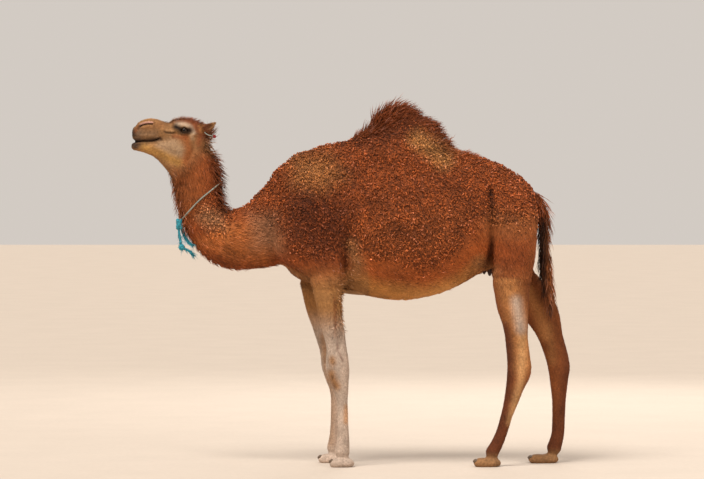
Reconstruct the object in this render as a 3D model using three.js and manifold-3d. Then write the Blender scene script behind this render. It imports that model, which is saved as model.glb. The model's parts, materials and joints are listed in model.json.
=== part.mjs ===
// A dromedary cow standing square, facing -X, with her left side towards -Y.
// Millimetres, +Z up, soles on z = 0.
// Her body is one smooth field: below zero inside the coat, above zero outside it.
// Rings of points on the field's zero are skinned into solids, which are joined into one body.
// Thin flat cuts then part the body into its pieces.
import * as THREE from "three";
import { mergeVertices } from "three/addons/utils/BufferGeometryUtils.js";
import Module from "manifold-3d";

const wasm = await Module();
wasm.setup();

// ---- Driving dimensions
const PART_GAP = 0.5; // between two pieces that touch
const FORELEG_CUT_Z = 1000; // where a foreleg is parted from the trunk, under the brisket
const HIND_LEG_CUT_Z = 1080; // where a hind leg is parted from the trunk, at the stifle
const HEAD_TURN = THREE.MathUtils.degToRad(7); // the head looks a little to her left
const HEAD_PIVOT = new THREE.Vector3(-900, 0, 1900);
const EYE_RADIUS = 21;
const EYE = new THREE.Vector3(-979, -74, 1943); // left eye's centre, before the head turns
const CORD_RADIUS = 4.5; // the pale cord round the neck
const STRAND_RADIUS = 7; // the turquoise rope ends

// ---- Runs: each is a chain of sections [x, y, z, a, b] along one limb or one part of the body.
// a is the half thickness in the XZ plane, across the run, and b the half width along Y.
// y is the distance out from the middle plane.
const TRUNK = [
  [-290, 0, 1478, 350, 178],
  [-150, 0, 1472, 405, 222],
  [0, 0, 1458, 438, 262],
  [150, 0, 1433, 460, 296],
  [300, 0, 1418, 466, 314],
  [450, 0, 1426, 444, 306],
  [570, 0, 1446, 404, 284],
  [690, 0, 1470, 354, 254],
  [800, 0, 1475, 300, 226],
  [900, 0, 1462, 250, 196],
  [972, 0, 1446, 204, 162],
];
const HUMP = [
  [278, 0, 1780, 306, 215],
  [292, 0, 1860, 296, 178],
  [296, 0, 1930, 248, 134],
  [292, 0, 1970, 216, 110],
  [290, 0, 2008, 182, 88],
  [292, 0, 2044, 134, 64],
];
const NECK = [
  [-300, 0, 1455, 296, 172],
  [-420, 0, 1393, 232, 150],
  [-500, 0, 1348, 208, 134],
  [-600, 0, 1322, 188, 117],
  [-690, 0, 1310, 180, 106],
  [-760, 0, 1325, 161, 100],
  [-815, 0, 1365, 142, 95],
  [-852, 0, 1425, 134, 91],
  [-878, 0, 1500, 135, 88],
  [-897, 0, 1580, 138, 86],
  [-903, 0, 1660, 142, 86],
  [-914, 0, 1730, 140, 86],
  [-928, 0, 1795, 112, 84],
  [-922, 0, 1858, 76, 76],
];
const SHOULDER_BLADE = [
  [-110, 70, 1760, 105, 62],
  [-190, 118, 1600, 128, 84],
  [-270, 140, 1430, 140, 92],
  [-310, 142, 1310, 128, 88],
];
const UPPER_ARM = [
  [-345, 132, 1295, 122, 84],
  [-260, 152, 1230, 128, 88],
  [-160, 160, 1170, 116, 80],
  [-146, 164, 1090, 104, 70],
];
const THIGH = [
  [905, 92, 1580, 138, 92],
  [938, 132, 1450, 143, 104],
  [937, 146, 1330, 142, 104],
  [934, 150, 1220, 136, 96],
  [926, 150, 1120, 124, 84],
];
const LEFT_FORELEG = [
  [-143, 164, 1060, 102, 68],
  [-134, 164, 960, 82, 58],
  [-112, 163, 815, 70, 50],
  [-91, 162, 700, 61, 46],
  [-86, 162, 625, 69, 53],
  [-83, 162, 562, 71, 55],
  [-73, 162, 506, 60, 49],
  [-61, 162, 448, 44, 39],
  [-57, 162, 378, 35, 33],
  [-52, 162, 262, 34, 32],
  [-52, 162, 150, 40, 38],
  [-56, 162, 88, 46, 45],
];
const RIGHT_FORELEG = [
  [-214, 164, 1060, 100, 68],
  [-196, 164, 915, 79, 56],
  [-175, 163, 830, 70, 50],
  [-151, 162, 738, 63, 46],
  [-124, 162, 660, 68, 52],
  [-111, 162, 575, 71, 55],
  [-101, 162, 506, 61, 49],
  [-94, 162, 440, 44, 39],
  [-92, 162, 378, 35, 33],
  [-94, 162, 262, 34, 32],
  [-96, 162, 150, 40, 38],
  [-104, 162, 88, 46, 45],
];
const LEFT_HIND_LEG = [
  [920, 150, 1064, 116, 78],
  [930, 148, 930, 98, 66],
  [944, 146, 830, 78, 52],
  [952, 144, 730, 69, 44],
  [964, 142, 620, 71, 45],
  [968, 141, 560, 74, 49],
  [958, 140, 515, 68, 47],
  [942, 140, 460, 56, 41],
  [921, 140, 380, 46, 36],
  [896, 140, 300, 37, 32],
  [868, 140, 205, 36, 32],
  [838, 140, 130, 39, 37],
  [812, 140, 84, 42, 43],
];
const RIGHT_HIND_LEG = [
  [968, 150, 1064, 122, 80],
  [1064, 148, 950, 118, 68],
  [1126, 146, 845, 98, 54],
  [1166, 144, 730, 74, 45],
  [1200, 142, 620, 70, 45],
  [1212, 141, 560, 68, 49],
  [1212, 140, 505, 60, 47],
  [1212, 140, 440, 52, 41],
  [1212, 140, 370, 44, 36],
  [1210, 140, 262, 41, 33],
  [1204, 140, 160, 41, 37],
  [1184, 140, 88, 46, 44],
];
const TAIL = [
  [990, 0, 1590, 42, 44],
  [1035, 0, 1572, 42, 38],
  [1083, 0, 1526, 37, 32],
  [1110, 0, 1455, 36, 30],
  [1117, 0, 1340, 35, 30],
  [1121, 0, 1210, 35, 30],
  [1134, 0, 1075, 36, 30],
  [1148, 0, 985, 30, 26],
  [1153, 0, 925, 15, 15],
];
// How far some runs go on past their first and last sections. The others end round.
const END_CAPS = { trunk: [178, 70], thigh: [50, 84], arm: [80, 70], skull: [60, 42] };
// The head's runs lie in the head's own plane, before it turns.
const SKULL = [
  [-888, 0, 1898, 88, 76],
  [-935, 0, 1922, 92, 82],
  [-985, 0, 1932, 90, 84],
  [-1028, 0, 1935, 78, 74],
  [-1068, 0, 1935, 62, 60],
  [-1112, 0, 1944, 61, 55],
  [-1165, 0, 1954, 64, 56],
  [-1203, 0, 1950, 60, 54],
  [-1236, 0, 1932, 46, 48],
];
const JAW = [
  [-965, 0, 1850, 88, 68],
  [-1030, 0, 1845, 82, 62],
  [-1095, 0, 1840, 65, 51],
  [-1150, 0, 1837, 44, 43],
  [-1205, 0, 1847, 33, 39],
  [-1260, 0, 1852, 25, 34],
];
const THROAT = [
  [-1112, 0, 1806, 36, 38],
  [-1052, 0, 1768, 64, 58],
  [-985, 0, 1725, 92, 76],
];
const EAR = [
  [-872, 62, 1938, 24, 13],
  [-846, 76, 1954, 24, 13],
  [-818, 86, 1976, 15, 9],
  [-803, 90, 1990, 5, 4],
];
// Single swellings: centre [x, y, z] and half sizes [along X, along Y, along Z].
const BROW = { at: [-980, 66, 1962], size: [52, 30, 30] };
const UPPER_LIP = { at: [-1247, 0, 1909], size: [30, 40, 27] };
const CHEEK = { at: [-985, 40, 1848], size: [72, 36, 74] };
const UDDER = { at: [760, 0, 1180], size: [110, 92, 68] };
const BRISKET = { at: [-150, 0, 1160], size: [230, 120, 120] };

// Feet: where the pad ends at the heel and at the toes, and the leg that stands on it.
const PAD_HALF_WIDTH = 60;
const PAD_HALF_HEIGHT = 37;
const PAD_CENTRE_Z = 20;
const TOE_SPREAD = 30;
const TOE_HALF_WIDTH = 33;
const FEET = {
  left_foreleg: { heel: 18, toe: -134, y: -162 },
  right_foreleg: { heel: -30, toe: -202, y: 162 },
  left_hind_leg: { heel: 866, toe: 700, y: -140 },
  right_hind_leg: { heel: 1214, toe: 1030, y: 140 },
};

// ---- Distances
const STEPS_PER_SECTION = 3;
const JOINT_CAP = 0.35; // how round a link's end is inside a run, as a share of its size

// A run's sections, filled in along a smooth curve, with its y on one side of the body.
function chain(sections, { side = 1, caps } = {}) {
  const path = new THREE.CatmullRomCurve3(
    sections.map(([x, y, z]) => new THREE.Vector3(x, side * y, z)),
  );
  const sizes = new THREE.CatmullRomCurve3(
    sections.map(([, , , a, b]) => new THREE.Vector3(a, b, 0)),
  );
  const count = (sections.length - 1) * STEPS_PER_SECTION;
  const links = [];
  for (let i = 0; i <= count; i += 1) {
    const { x, y, z } = path.getPoint(i / count);
    const { x: a, y: b } = sizes.getPoint(i / count);
    links.push({ x, y, z, a, b, cap: Math.min(a, b) * JOINT_CAP });
  }
  const [first, last] = [links[0], links.at(-1)];
  first.cap = caps ? caps[0] : Math.min(first.a, first.b);
  last.cap = caps ? caps[1] : Math.min(last.a, last.b);
  return links;
}

// Roughly how far a point lies outside an ellipsoid whose half sizes are a, b and c.
function outside(u, v, w, a, b, c) {
  const reach = Math.hypot(u / a, v / b, w / c);
  const slope = Math.hypot(u / (a * a), v / (b * b), w / (c * c));
  return slope < 1e-9 ? -Math.min(a, b, c) : (reach * (reach - 1)) / slope;
}

// How far a point lies outside a chain of links, each an elliptical cone with round ends.
// egg above 0 makes the upper side narrower than the lower one.
function outsideChain(links, x, y, z, egg = 0) {
  let least = Infinity;
  for (let i = 1; i < links.length; i += 1) {
    const p = links[i - 1];
    const q = links[i];
    const dx = q.x - p.x;
    const dz = q.z - p.z;
    const length = Math.hypot(dx, dz);
    const along = ((x - p.x) * dx + (z - p.z) * dz) / length;
    const t = Math.min(1, Math.max(0, along / length));
    const past = along - t * length;
    const across = ((x - p.x) * dz - (z - p.z) * dx) / length;
    const a = p.a + (q.a - p.a) * t;
    const lift = Math.min(1, Math.max(-1, (z - p.z - (q.z - p.z) * t) / a));
    const b = (p.b + (q.b - p.b) * t) * (1 - egg * lift);
    const side = y - p.y - (q.y - p.y) * t;
    least = Math.min(least, outside(across, side, past, a, b, past < 0 ? p.cap : q.cap));
  }
  return least;
}

// The union of two distances, rounded where they meet over a width of blend.
function joined(first, second, blend) {
  const near = Math.max(0, blend - Math.abs(first - second)) / blend;
  return Math.min(first, second) - near * near * blend * 0.25;
}

function swelling({ at, size }, x, y, z) {
  return outside(x - at[0], y - at[1], z - at[2], ...size);
}

const LINKS = {
  trunk: chain(TRUNK, { caps: END_CAPS.trunk }),
  hump: chain(HUMP),
  neck: chain(NECK),
  skull: chain(SKULL, { caps: END_CAPS.skull }),
  jaw: chain(JAW),
  throat: chain(THROAT),
  tail: chain(TAIL),
  blade: chain(SHOULDER_BLADE),
  arm: chain(UPPER_ARM, { caps: END_CAPS.arm }),
  thigh: chain(THIGH, { caps: END_CAPS.thigh }),
  ear: chain(EAR),
  left_foreleg: chain(LEFT_FORELEG, { side: -1 }),
  right_foreleg: chain(RIGHT_FORELEG),
  left_hind_leg: chain(LEFT_HIND_LEG, { side: -1 }),
  right_hind_leg: chain(RIGHT_HIND_LEG),
};

// Turns a point back from the turned head into the head's own plane.
function unturned(x, y) {
  const c = Math.cos(HEAD_TURN);
  const s = Math.sin(HEAD_TURN);
  const dx = x - HEAD_PIVOT.x;
  return [HEAD_PIVOT.x + dx * c + y * s, y * c - dx * s];
}

function upperHeadField(x, y, z) {
  const [hx, hy] = unturned(x, y);
  const skull = outsideChain(LINKS.skull, hx, hy, z);
  const browed = joined(skull, swelling(BROW, hx, Math.abs(hy), z), 22);
  return joined(browed, swelling(UPPER_LIP, hx, hy, z), 14);
}

function lowerHeadField(x, y, z) {
  const [hx, hy] = unturned(x, y);
  const jaw = outsideChain(LINKS.jaw, hx, hy, z);
  const cheeks = joined(jaw, swelling(CHEEK, hx, Math.abs(hy), z), 30);
  return joined(cheeks, outsideChain(LINKS.throat, hx, hy, z), 30);
}

function trunkField(x, y, z) {
  const side = Math.abs(y);
  let d = outsideChain(LINKS.trunk, x, y, z, 0.16);
  d = joined(d, outsideChain(LINKS.hump, x, y, z), 55);
  d = joined(d, outsideChain(LINKS.blade, x, side, z), 70);
  d = joined(d, outsideChain(LINKS.arm, x, side, z), 60);
  d = joined(d, outsideChain(LINKS.thigh, x, side, z), 60);
  d = joined(d, swelling(UDDER, x, y, z), 40);
  return joined(d, swelling(BRISKET, x, y, z), 60);
}

function footField(foot, x, y, z) {
  const across = Math.abs(y - foot.y);
  const half = (foot.heel - foot.toe) / 2;
  const pad = outside(x - foot.heel + half * 0.8, across, z - PAD_CENTRE_Z,
    half * 0.8, PAD_HALF_WIDTH, PAD_HALF_HEIGHT);
  const toe = outside(x - foot.toe - half * 0.66, across - TOE_SPREAD, z - PAD_CENTRE_Z,
    half * 0.66, TOE_HALF_WIDTH, PAD_HALF_HEIGHT - 3);
  return joined(pad, toe, 10);
}

function legField(name, x, y, z) {
  const leg = outsideChain(LINKS[name], x, y, z);
  return joined(leg, footField(FEET[name], x, y, z), 30);
}

function bodyField(x, y, z) {
  let d = trunkField(x, y, z);
  const [fore, hind] =
    y < 0 ? ["left_foreleg", "left_hind_leg"] : ["right_foreleg", "right_hind_leg"];
  d = joined(d, legField(fore, x, y, z), 36);
  d = joined(d, legField(hind, x, y, z), 36);
  d = joined(d, outsideChain(LINKS.neck, x, y, z), 60);
  return joined(d, Math.min(upperHeadField(x, y, z), lowerHeadField(x, y, z)), 40);
}

function tailField(x, y, z) {
  return outsideChain(LINKS.tail, x, y, z);
}

function earField(x, y, z) {
  const [hx, hy] = unturned(x, y);
  return outsideChain(LINKS.ear, hx, Math.abs(hy), z);
}

// ---- Skins over rings
const REACH = 1.16; // how far a ring may spread past its own section, as a share of its size
const STRIDE = 5;

// A ring lies in the plane of its two ways, across and up, round its centre.
function ring(centre, across, up, a, b, reach = REACH) {
  const [middle, side, top] = [centre, across, up].map((v) => new THREE.Vector3(...v));
  return { centre: middle, across: side.normalize(), up: top.normalize(), a, b, reach };
}

// Where a ray from inside first leaves the field, or the limit where it doesn't.
function exit(field, from, way, limit) {
  const at = (r) => field(from.x + way.x * r, from.y + way.y * r, from.z + way.z * r);
  let far = 0;
  while (far < limit && at(far) < 0) far += STRIDE;
  if (far >= limit) return limit;
  let near = Math.max(0, far - STRIDE);
  for (let halving = 0; halving < 8; halving += 1) {
    const middle = (near + far) / 2;
    if (at(middle) < 0) near = middle;
    else far = middle;
  }
  return far;
}

// A closed solid through the rings, with a point at each end. tips says how far the ends reach.
function skinned(field, rings, around, tips = [0, 0]) {
  const positions = [];
  const triangles = [];
  const add = (v) => positions.push(v.x, v.y, v.z) / 3 - 1;
  for (const { centre, across, up, a, b, reach } of rings)
    for (let s = 0; s < around; s += 1) {
      const angle = (2 * Math.PI * s) / around;
      const way = across.clone().multiplyScalar(b * Math.cos(angle));
      way.addScaledVector(up, a * Math.sin(angle));
      const limit = way.length() * reach;
      way.normalize();
      add(centre.clone().addScaledVector(way, exit(field, centre, way, limit)));
    }
  const gap = (p, q) =>
    Math.hypot(...[0, 1, 2].map((k) => positions[3 * p + k] - positions[3 * q + k]));
  for (let r = 0; r + 1 < rings.length; r += 1)
    for (let s = 0; s < around; s += 1) {
      const t = (s + 1) % around;
      const [p, q] = [r * around + s, r * around + t];
      const [u, v] = [p + around, q + around];
      if (gap(p, v) <= gap(q, u)) triangles.push(p, q, v, p, v, u);
      else triangles.push(p, q, u, q, v, u);
    }
  for (const end of [0, 1]) {
    const { centre, across, up } = end ? rings.at(-1) : rings[0];
    const out = across.clone().cross(up).multiplyScalar(end ? 1 : -1);
    const tip = add(centre.clone().addScaledVector(out, exit(field, centre, out, tips[end])));
    const first = end ? (rings.length - 1) * around : 0;
    for (let s = 0; s < around; s += 1) {
      const [p, q] = [first + s, first + ((s + 1) % around)];
      triangles.push(...(end ? [p, q, tip] : [q, p, tip]));
    }
  }
  return solid(positions, triangles);
}

// Rings across a chain, at every step-th link, and one more inside its round end.
// Their order keeps across x up along the chain.
const INTO_CAP = 0.68;
function ringsAcross(links, step = 1) {
  const rings = [];
  for (let i = 0; i < links.length; i += step) {
    const p = links[Math.max(0, i - 1)];
    const q = links[Math.min(links.length - 1, i + 1)];
    const { x, y, z, a, b } = links[i];
    rings.push(ring([x, y, z], [0, 1, 0], [-(q.z - p.z), 0, q.x - p.x], a, b));
  }
  const last = rings.at(-1);
  const end = last.across.clone().cross(last.up).multiplyScalar(links.at(-1).cap * INTO_CAP);
  rings.push({ ...last, centre: last.centre.clone().add(end) });
  return rings;
}

// The link of a chain that is nearest a height, or nearest a point.
function linkAt(links, z) {
  return links.reduce((best, l) => (Math.abs(l.z - z) < Math.abs(best.z - z) ? l : best));
}

function linkNear(links, [x, , z]) {
  const far = (l) => Math.hypot(l.x - x, l.z - z);
  return links.reduce((best, l) => (far(l) < far(best) ? l : best));
}

// ---- Solids
function solid(positions, triangles) {
  return new wasm.Manifold(
    new wasm.Mesh({
      numProp: 3,
      vertProperties: new Float32Array(positions),
      triVerts: new Uint32Array(triangles),
    }),
  );
}

function solidOf(geometry) {
  const bare = geometry.clone();
  bare.deleteAttribute("normal");
  bare.deleteAttribute("uv");
  const merged = mergeVertices(bare, 1e-3);
  return solid(merged.attributes.position.array, merged.index.array);
}

function box(low, high) {
  const size = high.map((h, k) => h - low[k]);
  const centre = high.map((h, k) => (h + low[k]) / 2);
  return solidOf(new THREE.BoxGeometry(...size).translate(...centre));
}

// A large block whose one face lies on the plane through point, on the side that normal points to.
const BLOCK_SIZE = 3000;
function block(point, normal, lift) {
  const out = new THREE.Vector3(...normal).normalize();
  const turn = new THREE.Quaternion().setFromUnitVectors(new THREE.Vector3(0, 0, 1), out);
  const geometry = new THREE.BoxGeometry(BLOCK_SIZE, BLOCK_SIZE, BLOCK_SIZE)
    .applyQuaternion(turn)
    .translate(...new THREE.Vector3(...point).addScaledVector(out, BLOCK_SIZE / 2 + lift));
  return solidOf(geometry);
}

// A ball stretched to its half sizes, turned and placed. grow widens it for its own socket.
function ball({ at, size, turn = [0, 0, 0] }, grow = 0, around = 8, rows = 5) {
  const geometry = new THREE.SphereGeometry(1, around, rows)
    .scale(size[0] + grow, size[1] + grow, size[2] + grow)
    .applyQuaternion(new THREE.Quaternion().setFromEuler(new THREE.Euler(...turn)))
    .translate(...at);
  return solidOf(geometry);
}

// A round or flat tube along a smooth curve through points.
function tube(points, halfWidth, halfHeight, { steps = 5, sides = 4 } = {}) {
  const outline = new THREE.Shape();
  outline.absellipse(0, 0, halfHeight, halfWidth, 0, 2 * Math.PI);
  const path = new THREE.CatmullRomCurve3(points.map((p) => new THREE.Vector3(...p)));
  return solidOf(
    new THREE.ExtrudeGeometry(outline, { extrudePath: path, steps, curveSegments: sides }),
  );
}

// Turns a point of the head's own plane with the head.
const UP = new THREE.Vector3(0, 0, 1);
function turned(point) {
  return new THREE.Vector3(...point)
    .sub(HEAD_PIVOT)
    .applyAxisAngle(UP, HEAD_TURN)
    .add(HEAD_PIVOT)
    .toArray();
}

const HALF_GAP = PART_GAP / 2;

// The flat cuts between pieces: a point and the way that the outer piece lies.
const HEAD_CUT = { point: [-950, 0, 1770], normal: [-0.587, 0, 0.809] };
const NECK_CUT = { point: [-425, 0, 1430], normal: [-1, 0, 0.12] };
const TAIL_CUT = { point: [1100, 0, 1488], normal: [0.32, 0, -0.95] };
const EAR_CUT = { point: [-866, 66, 1944], normal: [0.85, 0.3, 0.42] };
const outer = ({ point, normal }) => block(point, normal, HALF_GAP);
const inner = ({ point, normal }) => block(point, normal.map((n) => -n), HALF_GAP);

const LEG_BOXES = {
  left_foreleg: [[-420, -400, -1], [30, -60, FORELEG_CUT_Z]],
  right_foreleg: [[-420, 60, -1], [30, 400, FORELEG_CUT_Z]],
  left_hind_leg: [[696, -400, -1], [1340, -50, HIND_LEG_CUT_Z]],
  right_hind_leg: [[696, 50, -1], [1340, 400, HIND_LEG_CUT_Z]],
};
function legBox(name, grow) {
  const [low, high] = LEG_BOXES[name];
  return box(low, [high[0], high[1], high[2] + grow]);
}

// ---- The body, joined from skins
const TUCK = 0.7; // how far a hidden end ring reaches, so that it lies inside its neighbour

const TRUNK_PLACES = [-390, -310, -220, -130, -40, 50, 145, 240, 335, 430, 520, 605, 680, 750,
  820, 880, 935, 985, 1028];
function trunkSkin() {
  const rings = TRUNK_PLACES.map((x, i) => {
    const link = linkNear(LINKS.trunk, [x, 0, LINKS.trunk[0].z]);
    const widest = x < 0 ? link.b + 40 : link.b;
    return ring([x, 0, link.z], [0, 1, 0], [0, 0, 1], link.a, widest, i === 0 ? TUCK : REACH);
  });
  return skinned(trunkField, rings, 18, [20, 40]);
}

const HUMP_HEIGHTS = [1760, 1862, 1915, 1956, 1992, 2024, 2054, 2080, 2098];
function humpSkin() {
  const rings = HUMP_HEIGHTS.map((z, i) => {
    const { x, a, b } = linkAt(LINKS.hump, z);
    return ring([x, 0, z], [1, 0, 0], [0, 1, 0], b, a, i === 0 ? TUCK : REACH);
  });
  return skinned(trunkField, rings, 14, [20, 30]);
}

// Each neck ring is given by its ends in the middle plane: nape [x, z], then throat [x, z].
const NECK_RINGS = [
  [[-190, 1800], [-190, 1140]],
  [[-270, 1810], [-260, 1140]],
  [[-335, 1790], [-320, 1150]],
  [[-400, 1745], [-385, 1160]],
  [[-465, 1665], [-445, 1158]],
  [[-535, 1575], [-515, 1150]],
  [[-605, 1520], [-595, 1138]],
  [[-675, 1495], [-665, 1128]],
  [[-712, 1492], [-735, 1130]],
  [[-732, 1497], [-800, 1155]],
  [[-741, 1506], [-860, 1205]],
  [[-747, 1520], [-915, 1270]],
  [[-751, 1542], [-955, 1345]],
  [[-755, 1570], [-985, 1420]],
  [[-757, 1605], [-1015, 1490]],
  [[-759, 1655], [-1035, 1560]],
  [[-768, 1712], [-1046, 1620]],
  [[-790, 1768], [-1056, 1662]],
  [[-820, 1822], [-1072, 1692]],
  [[-845, 1868], [-1088, 1726]],
  [[-872, 1904], [-1080, 1790]],
];
function neckSkin() {
  const rings = NECK_RINGS.map(([nape, throat], i) => {
    const centre = [(nape[0] + throat[0]) / 2, 0, (nape[1] + throat[1]) / 2];
    const up = [nape[0] - throat[0], 0, nape[1] - throat[1]];
    const width = i < 4 ? 210 : linkNear(LINKS.neck, centre).b;
    const hidden = i === 0 || i === NECK_RINGS.length - 1;
    return ring(centre, [0, -1, 0], up, Math.hypot(...up) / 2, width, hidden ? TUCK : REACH);
  });
  return skinned(bodyField, rings, 16, [20, 20]);
}

// Rings across one of the head's runs, turned with the head.
function turnedRings(links, step) {
  return ringsAcross(links, step).map((r) => {
    r.centre = new THREE.Vector3(...turned(r.centre.toArray()));
    for (const way of [r.across, r.up]) way.applyAxisAngle(UP, HEAD_TURN);
    return r;
  });
}

function headSkin() {
  const skull = turnedRings(LINKS.skull, 2);
  const jaw = turnedRings(LINKS.jaw, 2);
  const throat = turnedRings(LINKS.throat, 2);
  for (const rings of [jaw, throat]) rings[0].reach = TUCK;
  return skinned(upperHeadField, skull, 18, [46, 50])
    .add(skinned(lowerHeadField, jaw, 14, [10, 40]))
    .add(skinned(lowerHeadField, throat, 14, [10, 30]));
}

// One ear with the hollow in its outer face. grow thickens it all round.
const EAR_HOLLOW = { at: [-832, 98, 1966], size: [30, 15, 12], turn: [0, 0.62, 0] };
function earSkin(side, grow) {
  const field = (x, y, z) => earField(x, y, z) - grow;
  const rings = turnedRings(LINKS.ear.map((l) => ({ ...l, y: l.y * side })), 2);
  const [x, y, z] = EAR_HOLLOW.at;
  const hollow = ball({ ...EAR_HOLLOW, at: turned([x, side * y, z]) }, -grow);
  return skinned(field, rings, 8, [10, 10]).subtract(hollow);
}

// Fine rows at the foot and the joints, long ones between.
const LEG_HEIGHTS = [0, 15, 34, 56, 88, 125, 190, 270, 360, 430, 500, 565, 630, 715, 820, 930,
  1050];
const ARM_HEIGHTS = [1140, 1230, 1320];
const THIGH_HEIGHTS = [1150, 1270, 1390, 1500, 1580];
const PASTERN_Z = 84;
function legSkin(name) {
  const foot = FEET[name];
  const side = Math.sign(foot.y);
  const isFore = name.includes("fore");
  const low = LEG_HEIGHTS.map((z) => {
    const { x, a, b } = linkAt(LINKS[name], z);
    const down = Math.max(0, 1 - z / PASTERN_Z);
    const middle = x + ((foot.heel + foot.toe) / 2 - x) * Math.min(1, down * 1.6);
    const spread = z < FORELEG_CUT_Z - 200 ? 2 : REACH;
    const y = linkAt(LINKS[name], z).y;
    return ring([middle, y, z], [1, 0, 0], [0, 1, 0], b + down * 20, a + down * 40, spread);
  });
  const heights = isFore ? ARM_HEIGHTS : THIGH_HEIGHTS;
  const high = heights.map((z, i) => {
    const { x, y, a, b } = linkAt(isFore ? LINKS.arm : LINKS.thigh, z);
    const last = i === heights.length - 1;
    const spread = last ? TUCK : isFore ? 1.5 : REACH;
    return ring([x, side * y, z], [1, 0, 0], [0, 1, 0], b, a, spread);
  });
  return skinned(bodyField, low.concat(high), 12, [0, 30]);
}

// ---- Small pieces that sit in sockets of their own
const NAIL = { size: [15, 14, 11], turn: [0, 0.6, 0] };
const NAIL_INSET = 11; // from the toe's tip
const NAIL_Z = 33;
const SEATED = {};
for (const [name, side] of [["left", 1], ["right", -1]]) {
  const at = turned([EYE.x, EYE.y * side, EYE.z]);
  SEATED[`eye_${name}`] = { at, size: [EYE_RADIUS, EYE_RADIUS, EYE_RADIUS] };
}
SEATED.chest_pad = { at: [20, 0, 1012], size: [150, 78, 22], turn: [0, 0.09, 0] };
for (const [row, x, z] of [["front", 768, 1136], ["rear", 800, 1126]])
  for (const [name, side] of [["left", -1], ["right", 1]])
    SEATED[`teat_${row}_${name}`] = { at: [x, side * 36, z], size: [12, 12, 27] };
for (const [leg, foot] of Object.entries(FEET))
  for (const [name, side] of [["outer", 1], ["inner", -1]]) {
    const y = foot.y + Math.sign(foot.y) * side * TOE_SPREAD;
    SEATED[`nail_${leg}_${name}`] = { ...NAIL, at: [foot.toe + NAIL_INSET, y, NAIL_Z] };
  }

// ---- The neck cord and its rope ends
// The cord is a slanted ring round the neck that sinks a little into the coat.
const LOOP_CENTRE = new THREE.Vector3(-884, 0, 1528);
const LOOP_NAPE = new THREE.Vector3(-766, 0, 1640);
const LOOP_LIFT = 12; // how far its sides ride up from the straight slant
const LOOP_POINTS = 18;
const KNOT_ANGLE = Math.PI + 0.2; // where on the ring the knot ties its two ends
const END_ANGLE = 0.06; // from the knot's middle to each of them
function neckLoop() {
  const slope = LOOP_NAPE.clone().sub(LOOP_CENTRE).normalize();
  const lift = new THREE.Vector3(-slope.z, 0, slope.x);
  return Array.from({ length: LOOP_POINTS + 1 }, (_, i) => {
    const turn = END_ANGLE + (2 * (Math.PI - END_ANGLE) * i) / LOOP_POINTS;
    const angle = KNOT_ANGLE + turn;
    const way = slope.clone().multiplyScalar(Math.cos(angle));
    way.y = Math.sin(angle);
    const from = LOOP_CENTRE.clone().addScaledVector(lift, LOOP_LIFT * Math.sin(angle) ** 2);
    return from.addScaledVector(way, exit(bodyField, from, way, 250) + 1).toArray();
  });
}

// A lump of rope: two stretched balls that cross.
const KNOT_LEAN = 0.4;
function knot({ at, size }, grow = 0) {
  const [x, y, z] = size;
  const upright = ball({ at, size: [x * 0.7, y, z], turn: [0, KNOT_LEAN, 0] }, grow);
  return upright.add(ball({ at, size: [x, y * 0.9, z * 0.8], turn: [0, -KNOT_LEAN, 0] }, grow));
}
const UPPER_KNOT = { at: [-1003, -26, 1401], size: [21, 21, 35] };
const LOWER_KNOT = { at: [-989, -30, 1266], size: [25, 20, 19] };
// The rope hangs from the upper knot, runs through the lower one and ends loose.
const ROPE = [
  [-1005, -26, 1376], [-1005, -26, 1362], [-1004, -27, 1348], [-1002, -27, 1334], [-1000, -28, 1320],
  [-997, -29, 1306], [-994, -30, 1292], [-991, -30, 1279], [-987, -30, 1267], [-977, -30, 1261],
  [-967, -29, 1256], [-957, -29, 1251], [-948, -29, 1245], [-940, -28, 1238], [-933, -28, 1230],
];
const ROPE_AT_KNOT = 8; // the route's point inside the lower knot
// The flat frayed end hangs beside it.
const FLAP = [
  [-994, -10, 1384], [-991, -9, 1376], [-988, -8, 1368], [-985, -7, 1360], [-982, -6, 1352],
  [-979, -6, 1344], [-976, -6, 1336], [-972, -7, 1328], [-968, -9, 1320], [-963, -12, 1312],
  [-958, -16, 1305], [-953, -20, 1298], [-947, -24, 1292], [-941, -28, 1287], [-935, -32, 1283],
];
const FLAP_HALF = [9, 3.5];

// The tag in her left ear: a strap through the ear's lower edge and a round button on its end.
const TAG_STRAP = [[-856, -66, 1938], [-848, -80, 1928], [-830, -90, 1917], [-804, -92, 1911]];
const TAG_STRAP_HALF = [5, 2];
const TAG_BUTTON = { at: [-796, -92, 1909], size: [10, 7, 10] };

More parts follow.
